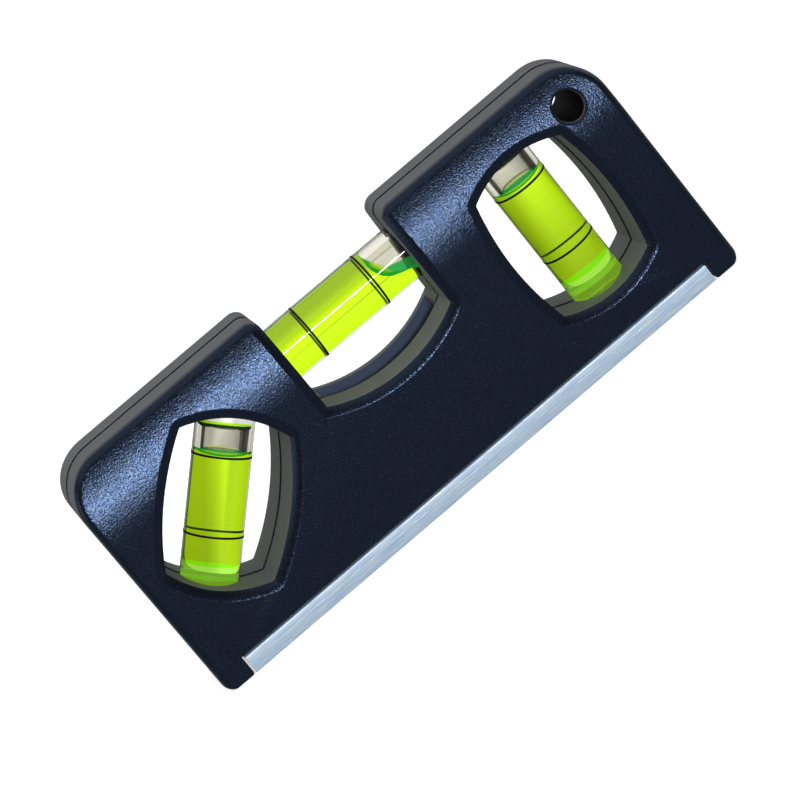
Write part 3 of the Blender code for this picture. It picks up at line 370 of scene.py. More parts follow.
# Lamps: name, place, width, height and power
LAMP_AIM = (0.0, 0.0, 0.022)
LAMPS = (
    ("key", (0.010, -1.17, 0.275), 0.34, 0.10, 5.8),
    ("top", (0.10, -0.20, 1.40), 2.20, 2.20, 6.0),
    ("left", (-1.20, -0.30, 0.55), 1.00, 1.00, 2.0),
    ("right", (1.20, 0.20, 0.60), 1.00, 1.00, 2.0),
    ("back", (-0.30, 1.25, 0.90), 1.00, 1.00, 1.6),
)

# The photograph's view
VIEW_AZIMUTH = math.radians(-4.28)
VIEW_ELEVATION = math.radians(15.64)
VIEW_ROLL = math.radians(39.26)
VIEW_DISTANCE = 0.67967
VIEW_TARGET = Vector((-0.00262, 0.0, 0.01665))
VIEW_NEAREST = 0.01
FOCAL_PIXELS = 4122.0
FRAME_PIXELS = 800.0
SENSOR_WIDTH = 36.0


# Node materials


def node_adder(tree):
    """A function that adds a node to the tree. Inputs go by name, or by number after an underscore."""

    def add(kind, settings=None, **inputs):
        node = tree.nodes.new("ShaderNode" + kind)
        for key, value in (settings or {}).items():
            setattr(node, key, value)
        for key, value in inputs.items():
            socket = node.inputs[int(key[1:])] if key[1:].isdigit() else node.inputs[key.replace("_", " ")]
            if isinstance(value, bpy.types.NodeSocket):
                tree.links.new(value, socket)
            else:
                socket.default_value = value
        return node

    return add


def blank_material(name):
    """The function that adds nodes to a new material, and one that shows a shader and gives the material."""
    made = bpy.data.materials.new(name)
    made.use_nodes = True
    tree = made.node_tree
    tree.nodes.clear()
    output = tree.nodes.new("ShaderNodeOutputMaterial")

    def show(shader):
        tree.links.new(shader, output.inputs["Surface"])
        return made

    return node_adder(tree), show


def rgb(name):
    return (*PALETTE[name], 1.0)


def tones(name):
    return [(*tone, 1.0) for tone in PALETTE[name]]


def mapped(add, value, span, result=WHOLE):
    """A value stretched from one range to another, by default from 0 to 1, and held inside it."""
    node = add("MapRange", {"clamp": True}, _0=value, _1=span[0], _2=span[1], _3=result[0], _4=result[1])
    return node.outputs["Result"]


def mixed(add, share, first, second):
    """The first number where share is 0, the second where it is 1."""
    return add("Mix", {"data_type": "FLOAT"}, _0=share, _2=first, _3=second).outputs[0]


def mixed_colour(add, share, first, second):
    """The first colour where share is 0, the second where it is 1."""
    return add("Mix", {"data_type": "RGBA"}, _0=share, _6=first, _7=second).outputs[2]


def distance_from(add, value, place):
    """How far a value lies from a place, either way."""
    offset = add("Math", {"operation": "SUBTRACT"}, _0=value, _1=place).outputs[0]
    return add("Math", {"operation": "ABSOLUTE"}, _0=offset).outputs[0]


def noise(add, pattern, axis_scales=(1.0, 1.0, 1.0)):
    """Cloudy values fixed to the piece, drawn out along an axis whose scale is under one."""
    scale, detail, roughness = pattern
    place = add("Mapping", Vector=add("TexCoord").outputs["Object"], Scale=axis_scales).outputs[0]
    return add("TexNoise", Vector=place, Scale=scale, Detail=detail, Roughness=roughness).outputs["Fac"]


def bumped(add, height, bump):
    strength, distance = bump
    return add("Bump", Strength=strength, Distance=distance, Height=height).outputs[0]


def moulded_plastic(name, specks, gloss, sheen, body, wall):
    """Fine grained dark plastic: mottled colour, spark-eroded grain and specks of dust. Walls are matt and
    take the wall colour, a lighter painted light on the moulded and slot kinds.
    """
    add, show = blank_material(name)
    place = add("TexCoord").outputs
    grain = noise(add, PLASTIC_GRAIN)
    colour = mixed_colour(add, noise(add, PLASTIC_MOTTLE), *tones(body))
    cells = add("TexVoronoi", {"feature": "F1"}, Vector=place["Object"], Scale=SPECK_SCALE, Randomness=1.0)
    near = mapped(add, cells.outputs["Distance"], SPECK_EDGE, WHOLE[::-1])
    chance = add("SeparateColor", Color=cells.outputs["Color"]).outputs["Red"]
    pick = mapped(add, chance, SPECK_PICK, (0.0, specks))
    speck = add("Math", {"operation": "MULTIPLY"}, _0=near, _1=pick).outputs[0]
    colour = mixed_colour(add, speck, colour, rgb("dust"))
    # Faces along Y keep the body colour; the other walls take the wall colour, which on the moulded and slot
    # kinds is a lighter painted light
    upright = add("SeparateXYZ", Vector=place["Normal"]).outputs["Y"]
    face = mapped(add, distance_from(add, upright, 0.0), WALL_TO_FACE)
    colour = mixed_colour(add, face, rgb(wall), colour)
    grained = mapped(add, grain, NOISE_SPREAD, [gloss * share for share in PLASTIC_GRAIN_SHARES])
    shader = add(
        "BsdfPrincipled",
        Base_Color=colour,
        Roughness=mixed(add, face, WALL_ROUGHNESS, grained),
        IOR=PLASTIC_IOR,
        Specular_IOR_Level=sheen,
        Specular_Tint=rgb("blue_gloss"),
        Normal=bumped(add, grain, PLASTIC_BUMP),
    ).outputs[0]
    return show(shader)


def brushed_aluminium():
    """Extruded aluminium, drawn and brushed along X."""
    add, show = blank_material("brushed_aluminium")
    lines = noise(add, RAIL_LINES, RAIL_AXIS_SCALES)
    streak = mapped(add, noise(add, RAIL_BANDS, RAIL_AXIS_SCALES), BAND_SPREAD)
    stain = mapped(add, noise(add, RAIL_STAINS), STAIN_SPREAD, STAIN_STRENGTH)
    colour = mixed_colour(add, streak, *tones("rail"))
    shader = add(
        "BsdfPrincipled",
        Base_Color=mixed_colour(add, stain, colour, rgb("rail_stain")),
        Metallic=RAIL_METAL_SHARE,
        Roughness=mapped(add, lines, NOISE_SPREAD, RAIL_ROUGHNESS),
        Anisotropic=RAIL_ANISOTROPY,
        Normal=bumped(add, lines, RAIL_BUMP),
    ).outputs[0]
    return show(shader)


def magnet_rubber():
    """Flexible ferrite strip: matt brown-black with rolled grain."""
    add, show = blank_material("magnet_rubber")
    grain = noise(add, RUBBER_GRAIN)
    lines = noise(add, RUBBER_LINES, RUBBER_AXIS_SCALES)
    shader = add(
        "BsdfPrincipled",
        Base_Color=mixed_colour(add, lines, *tones("rubber")),
        Roughness=mapped(add, grain, NOISE_SPREAD, RUBBER_ROUGHNESS),
        Normal=bumped(add, grain, RUBBER_BUMP),
    ).outputs[0]
    return show(shader)


def plated_steel(name, body):
    """Zinc plated screw steel with a faint mottled tarnish. The darker copy for the cross recesses is painted
    shade.
    """
    add, show = blank_material(name)
    mottle = noise(add, STEEL_MOTTLE)
    shader = add(
        "BsdfPrincipled",
        Base_Color=mixed_colour(add, mottle, *tones(body)),
        Metallic=1.0,
        Roughness=mapped(add, mottle, NOISE_SPREAD, STEEL_ROUGHNESS),
        Normal=bumped(add, mottle, STEEL_BUMP),
    ).outputs[0]
    return show(shader)


def ring_paint():
    """Printed black line with uneven ink."""
    add, show = blank_material("ring_paint")
    ink = noise(add, INK_MOTTLE)
    shader = add(
        "BsdfPrincipled",
        Base_Color=mixed_colour(add, ink, *tones("ink")),
        Roughness=mapped(add, ink, NOISE_SPREAD, INK_ROUGHNESS),
        Specular_IOR_Level=INK_SHEEN,
    ).outputs[0]
    return show(shader)


def lamp_open(add, shader, tint):
    """Lets lamps shine through a clear surface, tinted, as glass does in life."""
    path = add("LightPath").outputs["Is Shadow Ray"]
    clear = add("BsdfTransparent", Color=tint).outputs[0]
    return add("MixShader", _0=path, _1=shader, _2=clear).outputs[0]


def polished_acrylic(name, ior, tint):
    """Clear turned acrylic with the faintest tool haze."""
    add, show = blank_material(name)
    roughness = mapped(add, noise(add, TOOL_HAZE), HAZE_SPREAD, HAZE_ROUGHNESS)
    glass = add("BsdfGlass", Color=rgb(tint), Roughness=roughness, IOR=ior).outputs[0]
    return show(lamp_open(add, glass, rgb(tint)))


def bore_skin():
    """Bore faces that the spirit wets: with liquid of the same index behind them they can't be seen."""
    add, show = blank_material("wetted_bore")
    return show(add("BsdfTransparent", Color=rgb("white")).outputs[0])


def matched(add, colour, glow=None):
    """A clear body that bends light as the acrylic does, so only its colour shows, plus a painted glow added
    as emission when one is given.
    """
    facet = add("NewGeometry").outputs["True Normal"]
    look = add("BsdfRefraction", Color=colour, Roughness=0.0, IOR=MATCHED_IOR, Normal=facet).outputs[0]
    if glow is None:
        return look
    light = add("Emission", Color=glow, Strength=1.0).outputs[0]
    return add("AddShader", _0=look, _1=light).outputs[0]


def spirit(name, tint, shadow, glow=None):
    """Dyed spirit, and what it wets or stains, with a painted glow added as emission when one is given."""
    add, show = blank_material(name)
    look = matched(add, rgb(tint), rgb(glow) if glow else None)
    return show(lamp_open(add, look, rgb(shadow)))


def meniscus_painted_reflection():
    """Surface of the spirit, with a painted reflection: at a slant it turns emerald and glows, standing in
    for the light that the surface reflects inside the spirit.
    """
    add, show = blank_material("meniscus_painted_reflection")
    slant = mapped(add, add("LayerWeight").outputs["Facing"], SURFACE_SLANT)
    colour = mixed_colour(add, slant, *tones("surface"))
    glow = mixed_colour(add, slant, *tones("meniscus_painted_glow"))
    return show(lamp_open(add, matched(add, colour, glow), rgb("spirit_shadow")))


# Outlines are lists of (x, z) that run counter-clockwise, seen with X to the right and Z up


def crown_drop(z):
    rise = max(0.0, z - CROWN_START)
    return CROWN_RADIUS - math.sqrt(CROWN_RADIUS**2 - rise**2)


def crown_rows():
    return [CROWN_START + i / CROWN_ROWS * (BODY_HEIGHT - CROWN_START) for i in range(CROWN_ROWS)]


def arc_points(centre, radius, start, sweep, steps=None):
    steps = steps or max(2, math.ceil(abs(sweep) / ARC_STEP))
    turns = [start + sweep * i / steps for i in range(steps + 1)]
    return [(centre[0] + radius * math.cos(turn), centre[1] + radius * math.sin(turn)) for turn in turns]


def rounded_corner(before, corner, after, radius, steps=None):
    if radius <= 0:
        return [corner]
    here = Vector(corner)
    back = (Vector(before) - here).normalized()
    ahead = (Vector(after) - here).normalized()
    half = math.acos(max(-1.0, min(1.0, back.dot(ahead)))) / 2
    centre = here + (back + ahead).normalized() * radius / math.sin(half)
    reach = radius / math.tan(half)
    first = here + back * reach - centre
    last = here + ahead * reach - centre
    start = math.atan2(first.y, first.x)
    sweep = (math.atan2(last.y, last.x) - start + math.pi) % math.tau - math.pi
    return arc_points(centre, radius, start, sweep, steps)


def notch_floor(half_width, radius):
    half = math.asin(half_width / radius)
    turns = [-math.pi / 2 + half - 2 * half * i / FLOOR_STEPS for i in range(FLOOR_STEPS + 1)]
    return [(radius * math.cos(turn), NOTCH_CENTRE_Z + radius * math.sin(turn)) for turn in turns]


def corner_loop(corners):
    """Rounds (corner, radius, kind) entries into (x, z, kind) points. A corner may be a list of points."""
    places = [corner if isinstance(corner, list) else [corner] for corner, _, _ in corners]
    points = []
    for i, (corner, radius, kind) in enumerate(corners):
        if isinstance(corner, list):
            part = corner
        else:
            part = rounded_corner(places[i - 1][-1], corner, places[(i + 1) % len(places)][0], radius)
        points += [(x, z, kind) for x, z in part]
    return points


def base_edge(x):
    """Size of the edge along the base: crisp beside the rail, and soft round the outer foot corners."""
    outer = abs(x) - (HALF_LENGTH - FOOT_CORNER_RADIUS)
    share = max(0.0, min(1.0, outer / FOOT_CORNER_RADIUS))
    return BASE_ROUND + (EDGE_ROUND - BASE_ROUND) * share**2


def body_outline():
    """Points of the outline as (x, z, edge width, edge depth, whether the edge is round)."""
    floor = notch_floor(NOTCH_HALF_WIDTH, NOTCH_FLOOR_RADIUS)
    corners = [
        ((-HALF_LENGTH, 0.0), FOOT_CORNER_RADIUS, "base"),
        ((-FOOT_INNER_X, 0.0), FOOT_INNER_RADIUS, "base"),
        ((-FOOT_INNER_X, SEAT_Z), 0.0, "base"),
        ((FOOT_INNER_X, SEAT_Z), 0.0, "base"),
        ((FOOT_INNER_X, 0.0), FOOT_INNER_RADIUS, "base"),
        ((HALF_LENGTH, 0.0), FOOT_CORNER_RADIUS, "base"),
        ((HALF_LENGTH, BODY_HEIGHT), TOP_CORNER_RADIUS, "edge"),
        ((NOTCH_HALF_WIDTH, BODY_HEIGHT), SHOULDER_RADIUS, "shoulder"),
        (floor, 0.0, "notch"),
        ((-NOTCH_HALF_WIDTH, BODY_HEIGHT), SHOULDER_RADIUS, "shoulder"),
        ((-HALF_LENGTH, BODY_HEIGHT), TOP_CORNER_RADIUS, "edge"),
    ]
    points = []
    for x, z, kind in corner_loop(corners):
        lowered = BODY_HEIGHT - z > SHOULDER_RADIUS * SHOULDER_FLARE_SHARE
        if kind == "base":
            size = base_edge(x)
            points.append((x, z, size, size, True))
        elif kind == "notch" or (kind == "shoulder" and lowered):
            points.append((x, z, RIM_WIDTH, RIM_DEPTH, False))
        else:
            points.append((x, z, EDGE_ROUND, EDGE_ROUND, True))
    return points


def inward_mitres(points):
    """For each point of a counter-clockwise loop, the step inwards that moves both of its sides by one."""
    count = len(points)
    steps = []
    for i in range(count):
        here = Vector(points[i][:2])
        coming = (here - Vector(points[i - 1][:2])).normalized()
        going = (Vector(points[(i + 1) % count][:2]) - here).normalized()
        left = Vector((-coming.y, coming.x))
        right = Vector((-going.y, going.x))
        steps.append((left + right) / max(SHARPEST_MITRE, 1 + left.dot(right)))
    return steps


def rim_profile(share):
    """Depth of the rim as a share of its full depth, for a share that is 0 at the wall and 1 at the face."""
    level = 1 - share
    gentle = RIM_OUTER_SLOPE * RIM_WIDTH / RIM_DEPTH
    return gentle * level + (1 - gentle) * level**2


def edge_rings(points, steps):
    """Loops from the wall to the face: each is a list of (x, z, drop) of the same length."""
    mitres = inward_mitres(points)
    rings = []
    for k in range(steps + 1):
        share = k / steps
        turn = share * math.pi / 2
        ring = []
        for (x, z, width, depth, is_round), mitre in zip(points, mitres):
            inset = width * ((1 - math.cos(turn)) if is_round else share)
            drop = depth * ((1 - math.sin(turn)) if is_round else rim_profile(share))
            ring.append((x + mitre.x * inset, z + mitre.y * inset, drop))
        rings.append(ring)
    return rings


def split_at_rows(rings, rows):
    """Adds points to every loop where the last loop crosses a crown row, so that the faces stay matched."""
    last = rings[-1]
    count = len(last)
    out = [[] for _ in rings]
    for i in range(count):
        j = (i + 1) % count
        z0, z1 = last[i][1], last[j][1]
        shares = [(row - z0) / (z1 - z0) for row in rows if min(z0, z1) < row < max(z0, z1)]
        for made, ring in zip(out, rings):
            made.append(ring[i])
            for share in sorted(s for s in shares if ROW_END_SHARE < s < 1 - ROW_END_SHARE):
                made.append(tuple(a + (b - a) * share for a, b in zip(ring[i], ring[j])))
    return out


def inside(point, loop):
    x, z = point
    found = False
    for i in range(len(loop)):
        x0, z0 = loop[i - 1][:2]
        x1, z1 = loop[i][:2]
        if (z0 > z) != (z1 > z) and x < x0 + (x1 - x0) * (z - z0) / (z1 - z0):
            found = not found
    return found


def row_edges(loop, rows):
    """Pairs of loop points joined by a crown row that runs inside the loop."""
    pairs = []
    for row in rows:
        on_row = sorted((p[0], i) for i, p in enumerate(loop) if abs(p[1] - row) < SAME_PLACE)
        for (xa, a), (xb, b) in zip(on_row, on_row[1:]):
            if xb - xa > SAME_PLACE and inside(((xa + xb) / 2, row + SAME_PLACE), loop):
                pairs.append((a, b))
    return pairs


# Meshes


def new_object(name, data):
    made = bpy.data.objects.new(name, data)
    bpy.context.scene.collection.objects.link(made)
    return made


def finish_mesh(name, work):
    """An object with the work's mesh, its faces turned outwards."""
    bmesh.ops.recalc_face_normals(work, faces=work.faces)
    mesh = bpy.data.meshes.new(name)
    work.to_mesh(mesh)
    work.free()
    return new_object(name, mesh)


def walled(work, loops):
    """Makes a row of points for each loop of (x, y, z), joins the rows by faces, and gives the rows."""
    rows = [[work.verts.new(p) for p in loop] for loop in loops]
    for lower, upper in zip(rows, rows[1:]):
        for i in range(len(lower)):
            j = (i + 1) % len(lower)
            work.faces.new((lower[i], lower[j], upper[j], upper[i]))
    return rows


def crowned_solid(name, points, side):
    """One solid half body: parting face, rounded wall edges, and the crowned face."""
    rows = crown_rows()
    rings = split_at_rows(edge_rings(points, EDGE_STEPS), rows)
    mitres = inward_mitres(rings[0])
    parting = (
        (PARTING_SLOT_DEPTH, PARTING_HALF_GAP),
        (PARTING_SLOT_DEPTH, PARTING_SLOT_HALF),
        (PARTING_STEP if side == FRONT else 0.0, PARTING_SLOT_HALF),
        (0.0, PARTING_STEP_RUN),
    )
    loops = []
    for inset, y in parting:
        loops.append([(x + m.x * inset, side * y, z + m.y * inset) for (x, z, _), m in zip(rings[0], mitres)])
    for ring in rings:
        loops.append([(x, side * (HALF_THICKNESS - crown_drop(z) - drop), z) for x, z, drop in ring])
    work = bmesh.new()
    walls = walled(work, loops)
    work.faces.new(walls[0])
    last = rings[-1]
    flat = [Vector(p[:2]) for p in last]
    edges = [(i, (i + 1) % len(last)) for i in range(len(last))] + row_edges(last, rows)
    triangles, origins = delaunay_2d_cdt(flat, edges, [], 1, SAME_PLACE**2)[2:4]
    for triangle in triangles:
        work.faces.new([walls[-1][origins[v][0]] for v in triangle])
    return finish_mesh(name, work)


def capped(name, *loops):
    """A solid between two flat loops of (x, y, z) points."""
    work = bmesh.new()
    for end in walled(work, loops):
        work.faces.new(end)
    return finish_mesh(name, work)


def prism(name, loop, y0, y1):
    """A straight solid along Y with the outline of the loop."""
    return capped(name, [(x, y0, z) for x, z in loop], [(x, y1, z) for x, z in loop])


def lofted(name, loops):
    """A cutter through loops of (x, y, z) points, closed by a fan at each end."""
    work = bmesh.new()
    rows = walled(work, loops)
    for end in (rows[0], rows[-1]):
        middle = work.verts.new(sum((v.co for v in end), Vector()) / len(end))
        for i in range(len(end)):
            work.faces.new((end[i], end[(i + 1) % len(end)], middle))
    return finish_mesh(name, work)


def circle_loop(x, z, radius, segments):
    turns = [math.tau * i / segments for i in range(segments)]
    return [(x + radius * math.cos(turn), z + radius * math.sin(turn)) for turn in turns]


def box_loop(x0, z0, x1, z1):
    return [(x0, z0), (x1, z0), (x1, z1), (x0, z1)]


def barrel_loop(extra):
    """The window outline about its own centre with slightly rounded corners, grown outwards by extra."""
    width, length = WINDOW_HALF_WIDTH, WINDOW_HALF_LENGTH
    ahead = [-1 + 2 * i / SIDE_STEPS for i in range(1, SIDE_STEPS)]
    corners = [(width, -length), (width, length), (-width, length), (-width, -length)]
    sides = [[(width + WINDOW_SIDE_BULGE * (1 - s * s), s * length) for s in ahead]]
    sides.append([(-s * width, length + WINDOW_END_BULGE * (1 - s * s)) for s in ahead])
    sides += [[(-u, -w) for u, w in side] for side in sides]
    points = []
    for i, corner in enumerate(corners):
        points += rounded_corner(sides[i - 1][-1], corner, sides[i][0], WINDOW_CORNER_RADIUS, CORNER_STEPS)
        points += sides[i]
    mitres = inward_mitres(points)
    return [(u - mitre.x * extra, w - mitre.y * extra) for (u, w), mitre in zip(points, mitres)]


def turned_loop(loop, centre, tilt):
    """Leans a local loop's second axis by tilt from vertical towards +X, and moves the loop to the centre."""
    c, s = math.cos(tilt), math.sin(tilt)
    return [(centre[0] + u * c + w * s, centre[1] - u * s + w * c) for u, w in loop]


def at_face(loop, side, level):
    return [(x, side * (HALF_THICKNESS - crown_drop(z) + level), z) for x, z in loop]


def window_cutter(name, centre, tilt, side):
    """The barrel opening of one shell, with a rim that curves from the crowned face into the wall."""
    beyond = OVER / 2
    steps = [(RIM_WIDTH + beyond, 2 * beyond), (RIM_WIDTH + beyond, beyond * RIM_OUTER_SLOPE)]
    for k in range(RIM_STEPS, -1, -1):
        share = k / RIM_STEPS
        steps.append((RIM_WIDTH * share, -RIM_DEPTH * rim_profile(share)))
    loops = [at_face(turned_loop(barrel_loop(extra), centre, tilt), side, level) for extra, level in steps]
    narrow = turned_loop(barrel_loop(-WINDOW_DRAFTS[side]), centre, tilt)
    slot = turned_loop(barrel_loop(PARTING_SLOT_DEPTH), centre, tilt)
    for loop, y in ((narrow, WINDOW_SLOT_HALF), (slot, WINDOW_SLOT_HALF), (slot, -OVER)):
        loops.append([(x, side * y, z) for x, z in loop])
    return lofted(name, loops)


def hole_cutter(name, side):
    """The hanging hole, with a rounded rim on the crowned face."""
    loops = [at_face(circle_loop(*HOLE, HOLE_RADIUS + HOLE_FLARE, ROUND_SEGMENTS), side, OVER)]
    for k in range(RIM_STEPS + 1):
        turn = HOLE_FLARE_START + k / RIM_STEPS * (math.pi / 2 - HOLE_FLARE_START)
        radius = HOLE_RADIUS + HOLE_FLARE * (1 - math.sin(turn))
        level = -HOLE_FLARE * (1 - math.cos(turn))
        loops.append(at_face(circle_loop(*HOLE, radius, ROUND_SEGMENTS), side, level))
    loops.append([(x, -side * OVER, z) for x, z in circle_loop(*HOLE, HOLE_RADIUS, ROUND_SEGMENTS)])
    return lofted(name, loops)


def cut_away(target, cutters):
    """Takes the cutters out of the target one by one, then removes them."""
    for cutter in cutters:
        cut = target.modifiers.new("cut", "BOOLEAN")
        cut.operation = "DIFFERENCE"
        cut.object = cutter
        cut.solver = "EXACT"
    graph = bpy.context.evaluated_depsgraph_get()
    mesh = bpy.data.meshes.new_from_object(target.evaluated_get(graph))
    target.modifiers.clear()
    target.data = mesh
    for cutter in cutters:
        bpy.data.objects.remove(cutter, do_unlink=True)


def give_shades(obj, shades):
    """Sets the object's materials and puts the first one on every face."""
    obj.data.materials.clear()
    for shade in shades:
        obj.data.materials.append(shade)
    for face in obj.data.polygons:
        face.material_index = 0


def smooth(mesh):
    mesh.shade_smooth()
    mesh.set_sharp_from_angle(angle=SMOOTH_ANGLE)


def shade_by_size(obj):
    """Smooth shading in which large faces keep their own direction, up to the real edges."""
    smooth(obj.data)
    weighted = obj.modifiers.new("weighted", "WEIGHTED_NORMAL")
    weighted.mode = "FACE_AREA"
    weighted.keep_sharp = True


# Turned pieces


def leaned(x, table):
    """Height that a leaning surface adds at x, from a table of (share of the bore's radius, height)."""
    share = x / BORE_RADIUS
    for (s0, h0), (s1, h1) in zip(table, table[1:]):
        if share <= s1:
            return h0 + (h1 - h0) * max(0.0, share - s0) / (s1 - s0)
    return table[-1][1]


def turned_mesh(profile, segments, closed=False, lean=None):
    """A solid turned about +Z from (radius, height) points. lean is a table and the rows that follow it."""
    table, leaning = lean or ((), ())
    work = bmesh.new()
    rows = []
    for index, (radius, height) in enumerate(profile):
        bent = table if index in leaning else FLAT_LEAN
        if radius <= 0:
            rows.append([work.verts.new((0.0, 0.0, height + leaned(0.0, bent)))])
            continue
        places = circle_loop(0.0, 0.0, radius, segments)
        rows.append([work.verts.new((x, y, height + leaned(x, bent))) for x, y in places])
    pairs = list(zip(rows, rows[1:])) + ([(rows[-1], rows[0])] if closed else [])
    for lower, upper in pairs:
        for i in range(segments):
            j = (i + 1) % segments
            corners = [lower[i % len(lower)], lower[j % len(lower)]]
            corners += [upper[j % len(upper)], upper[i % len(upper)]]
            unique = list(dict.fromkeys(corners))
            if len(unique) > 2:
                work.faces.new(unique)
    return work


def turned_piece(name, profile, shades, matrix, closed=False, lean=None):
    """A turned object placed by the matrix, with the first of its materials on every face."""
    work = turned_mesh(profile, ROUND_SEGMENTS, closed, lean)
    work.transform(matrix)
    made = finish_mesh(name, work)
    give_shades(made, shades)
    shade_by_size(made)
    return made


def dressed(piece, body, slot, *nodes):
    """Sets a piece on its body and hides the solids it stands for. The slot, the name of its finish, is not
    used.
    """
    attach(piece, body)
    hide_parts(*nodes)


def vial_frame(vial):
    """Places a vial's own Z axis in the shared frame. A tilt of zero stands upright."""
    across, up = vial.shift * math.sin(vial.tilt), vial.shift * math.cos(vial.tilt)
    place = Matrix.Translation((vial.place[0] + across, 0.0, vial.place[1] + up))
    return place @ Matrix.Rotation(vial.tilt, 4, "Y")


# Shells


def half_shell(name, side, shades):
    """One moulded half: crowned face, window rims, matt hole, vial seats, rail seat and fastener holes."""
    shell = crowned_solid(name + "_moulding", body_outline(), side)
    cutters = [
        window_cutter(name + "_plumb_window", PLUMB_WINDOW, 0.0, side),
        window_cutter(name + "_angle_window", ANGLE_WINDOW, ANGLE_TILT, side),
        hole_cutter(name + "_hole", side),
    ]
    seat = TUBE_RADIUS + SEAT_GAP
    for vial in VIALS:
        low, high = vial.low - TOUCH_GAP, vial.high + TOUCH_GAP
        work = turned_mesh([(0.0, low), (seat, low), (seat, high), (0.0, high)], ROUND_SEGMENTS)
        work.transform(vial_frame(vial))
        cutters.append(finish_mesh(f"{name}_{vial.name}_seat", work))
    half = TONGUE_HALF_LENGTH + TOUCH_GAP
    neck = box_loop(-half, SEAT_Z - OVER, half, NECK_TOP_Z)
    flange = box_loop(-half, NECK_TOP_Z - TOUCH_GAP, half, FLANGE_TOP_Z + TOUCH_GAP)
    cutters.append(prism(name + "_neck", neck, side * (NECK_WIDTH / 2 + TOUCH_GAP), -side * OVER))
    cutters.append(prism(name + "_flange", flange, side * (FLANGE_WIDTH / 2 + TOUCH_GAP), -side * OVER))
    if side == REAR:
        low = notch_floor(FLOOR_SLOT_HALF, NOTCH_FLOOR_RADIUS + FLOOR_SLOT_DEPTH)
        high = notch_floor(FLOOR_SLOT_HALF, NOTCH_FLOOR_RADIUS - OVER)
        cutters.append(prism("floor_slot", low + high[::-1], FLOOR_SLOT_FRONT_Y - OVER, FLOOR_SLOT_BACK_Y))
    bores = {
        FRONT: [(SCREW_HOLE_RADIUS, OVER, -PILOT_END_Y)],
        REAR: [
            (COUNTERBORE_RADIUS, HALF_THICKNESS + OVER, COUNTERBORE_FLOOR_Y),
            (SCREW_HOLE_RADIUS, COUNTERBORE_FLOOR_Y + OVER, -OVER),
        ],
    }
    for place in SCREW_PLACES:
        for radius, y0, y1 in bores[side]:
            cutters.append(prism(name + "_bore", circle_loop(*place, radius, SMALL_SEGMENTS), y0, y1))
    cut_away(shell, cutters)
    give_shades(shell, shades)
    for face in shell.data.polygons:
        away = math.hypot(face.center.x - HOLE[0], face.center.z - HOLE[1])
        if away < HOLE_RADIUS + SAME_PLACE:
            face.material_index = HOLE_SHADE
        # The sunk band's back wall takes the slot plastic, whose lighter navy is painted light on a wall in
        # shade
        if abs(face.center.y - FLOOR_SLOT_BACK_Y) < SAME_PLACE and abs(face.center.x) < FLOOR_SLOT_HALF:
            face.material_index = SLOT_SHADE
    shade_by_size(shell)
    dressed(shell, "housing", "housing_plastic", name)


# Rail


def rail_side():
    """The rail's outer side at +Y from its foot to its top: rounded edges and one fine extrusion line."""
    r, y, top = RAIL_EDGE_ROUND, HALF_THICKNESS, RAIL_HEIGHT
    low = arc_points((y - r, r), r, -math.pi / 2, math.pi / 2, RAIL_ARC_STEPS)
    high = arc_points((y - r, top - r), r, 0.0, math.pi / 2, RAIL_ARC_STEPS)
    groove = [
        (y, RAIL_GROOVE_Z - RAIL_GROOVE_HALF),
        (y - RAIL_GROOVE_DEPTH, RAIL_GROOVE_Z),
        (y, RAIL_GROOVE_Z + RAIL_GROOVE_HALF),
    ]
    return low + groove + high


def soft_edges(obj, width):
    """Breaks the sharp edges with a fine bevel."""
    bevel = obj.modifiers.new("soft edges", "BEVEL")
    bevel.width = width
    bevel.segments = SOFT_EDGE_SEGMENTS
    bevel.limit_method = "ANGLE"
    bevel.angle_limit = SOFT_EDGE_ANGLE
    bevel.harden_normals = True


def base_rail(shade):
    """The extruded rail with its T tongue, as one object."""
    channel = CHANNEL_WIDTH / 2
    right = [(channel, CHANNEL_DEPTH), (channel, 0.0)] + rail_side()
    neck, flange = NECK_WIDTH / 2, FLANGE_WIDTH / 2
    right += [(neck, RAIL_HEIGHT), (neck, NECK_TOP_Z), (flange, NECK_TOP_Z), (flange, FLANGE_TOP_Z)]
    section = right + [(-y, z) for y, z in reversed(right)]
    ends = (-RAIL_HALF_LENGTH, RAIL_HALF_LENGTH)
    rail = capped("rail_extrusion", *[[(x, y, z) for y, z in section] for x in ends])
    milled = []
    for end in (-1, 1):
        low, high = sorted((end * TONGUE_HALF_LENGTH, end * (RAIL_HALF_LENGTH + OVER)))
        loop = box_loop(low, RAIL_HEIGHT, high, FLANGE_TOP_Z + OVER)
        milled.append(prism("mill", loop, -HALF_THICKNESS - OVER, HALF_THICKNESS + OVER))
    cut_away(rail, milled)
    give_shades(rail, [shade])
    smooth(rail.data)
    soft_edges(rail, RAIL_SOFT_EDGE)
    dressed(rail, "housing", "rail_aluminium", "base_rail")


# Screws


def screw_profile():
    """One self-tapping screw from its domed head to its tip."""
    top, r = SCREW_HEAD_HEIGHT, SCREW_HEAD_RADIUS
    points = [(0.0, top)]
    for k in range(1, SCREW_HEAD_STEPS + 1):
        turn = k / SCREW_HEAD_STEPS * math.pi / 2
        points.append((r * math.sin(turn), top - SCREW_HEAD_ROUND * (1 - math.cos(turn))))
    points += [(r, 0.0), (SCREW_SHANK_RADIUS, 0.0)]
    for i in range(SCREW_THREADS):
        z = -SCREW_PLAIN - i * SCREW_THREAD_PITCH
        points += [
            (SCREW_SHANK_RADIUS, z),
            (SCREW_THREAD_RADIUS, z - SCREW_THREAD_PITCH * THREAD_CREST_SHARE),
            (SCREW_SHANK_RADIUS, z - SCREW_THREAD_PITCH * THREAD_FOOT_SHARE),
        ]
    return points + [(SCREW_SHANK_RADIUS, -SCREW_LENGTH + SCREW_TIP), (0.0, -SCREW_LENGTH)]


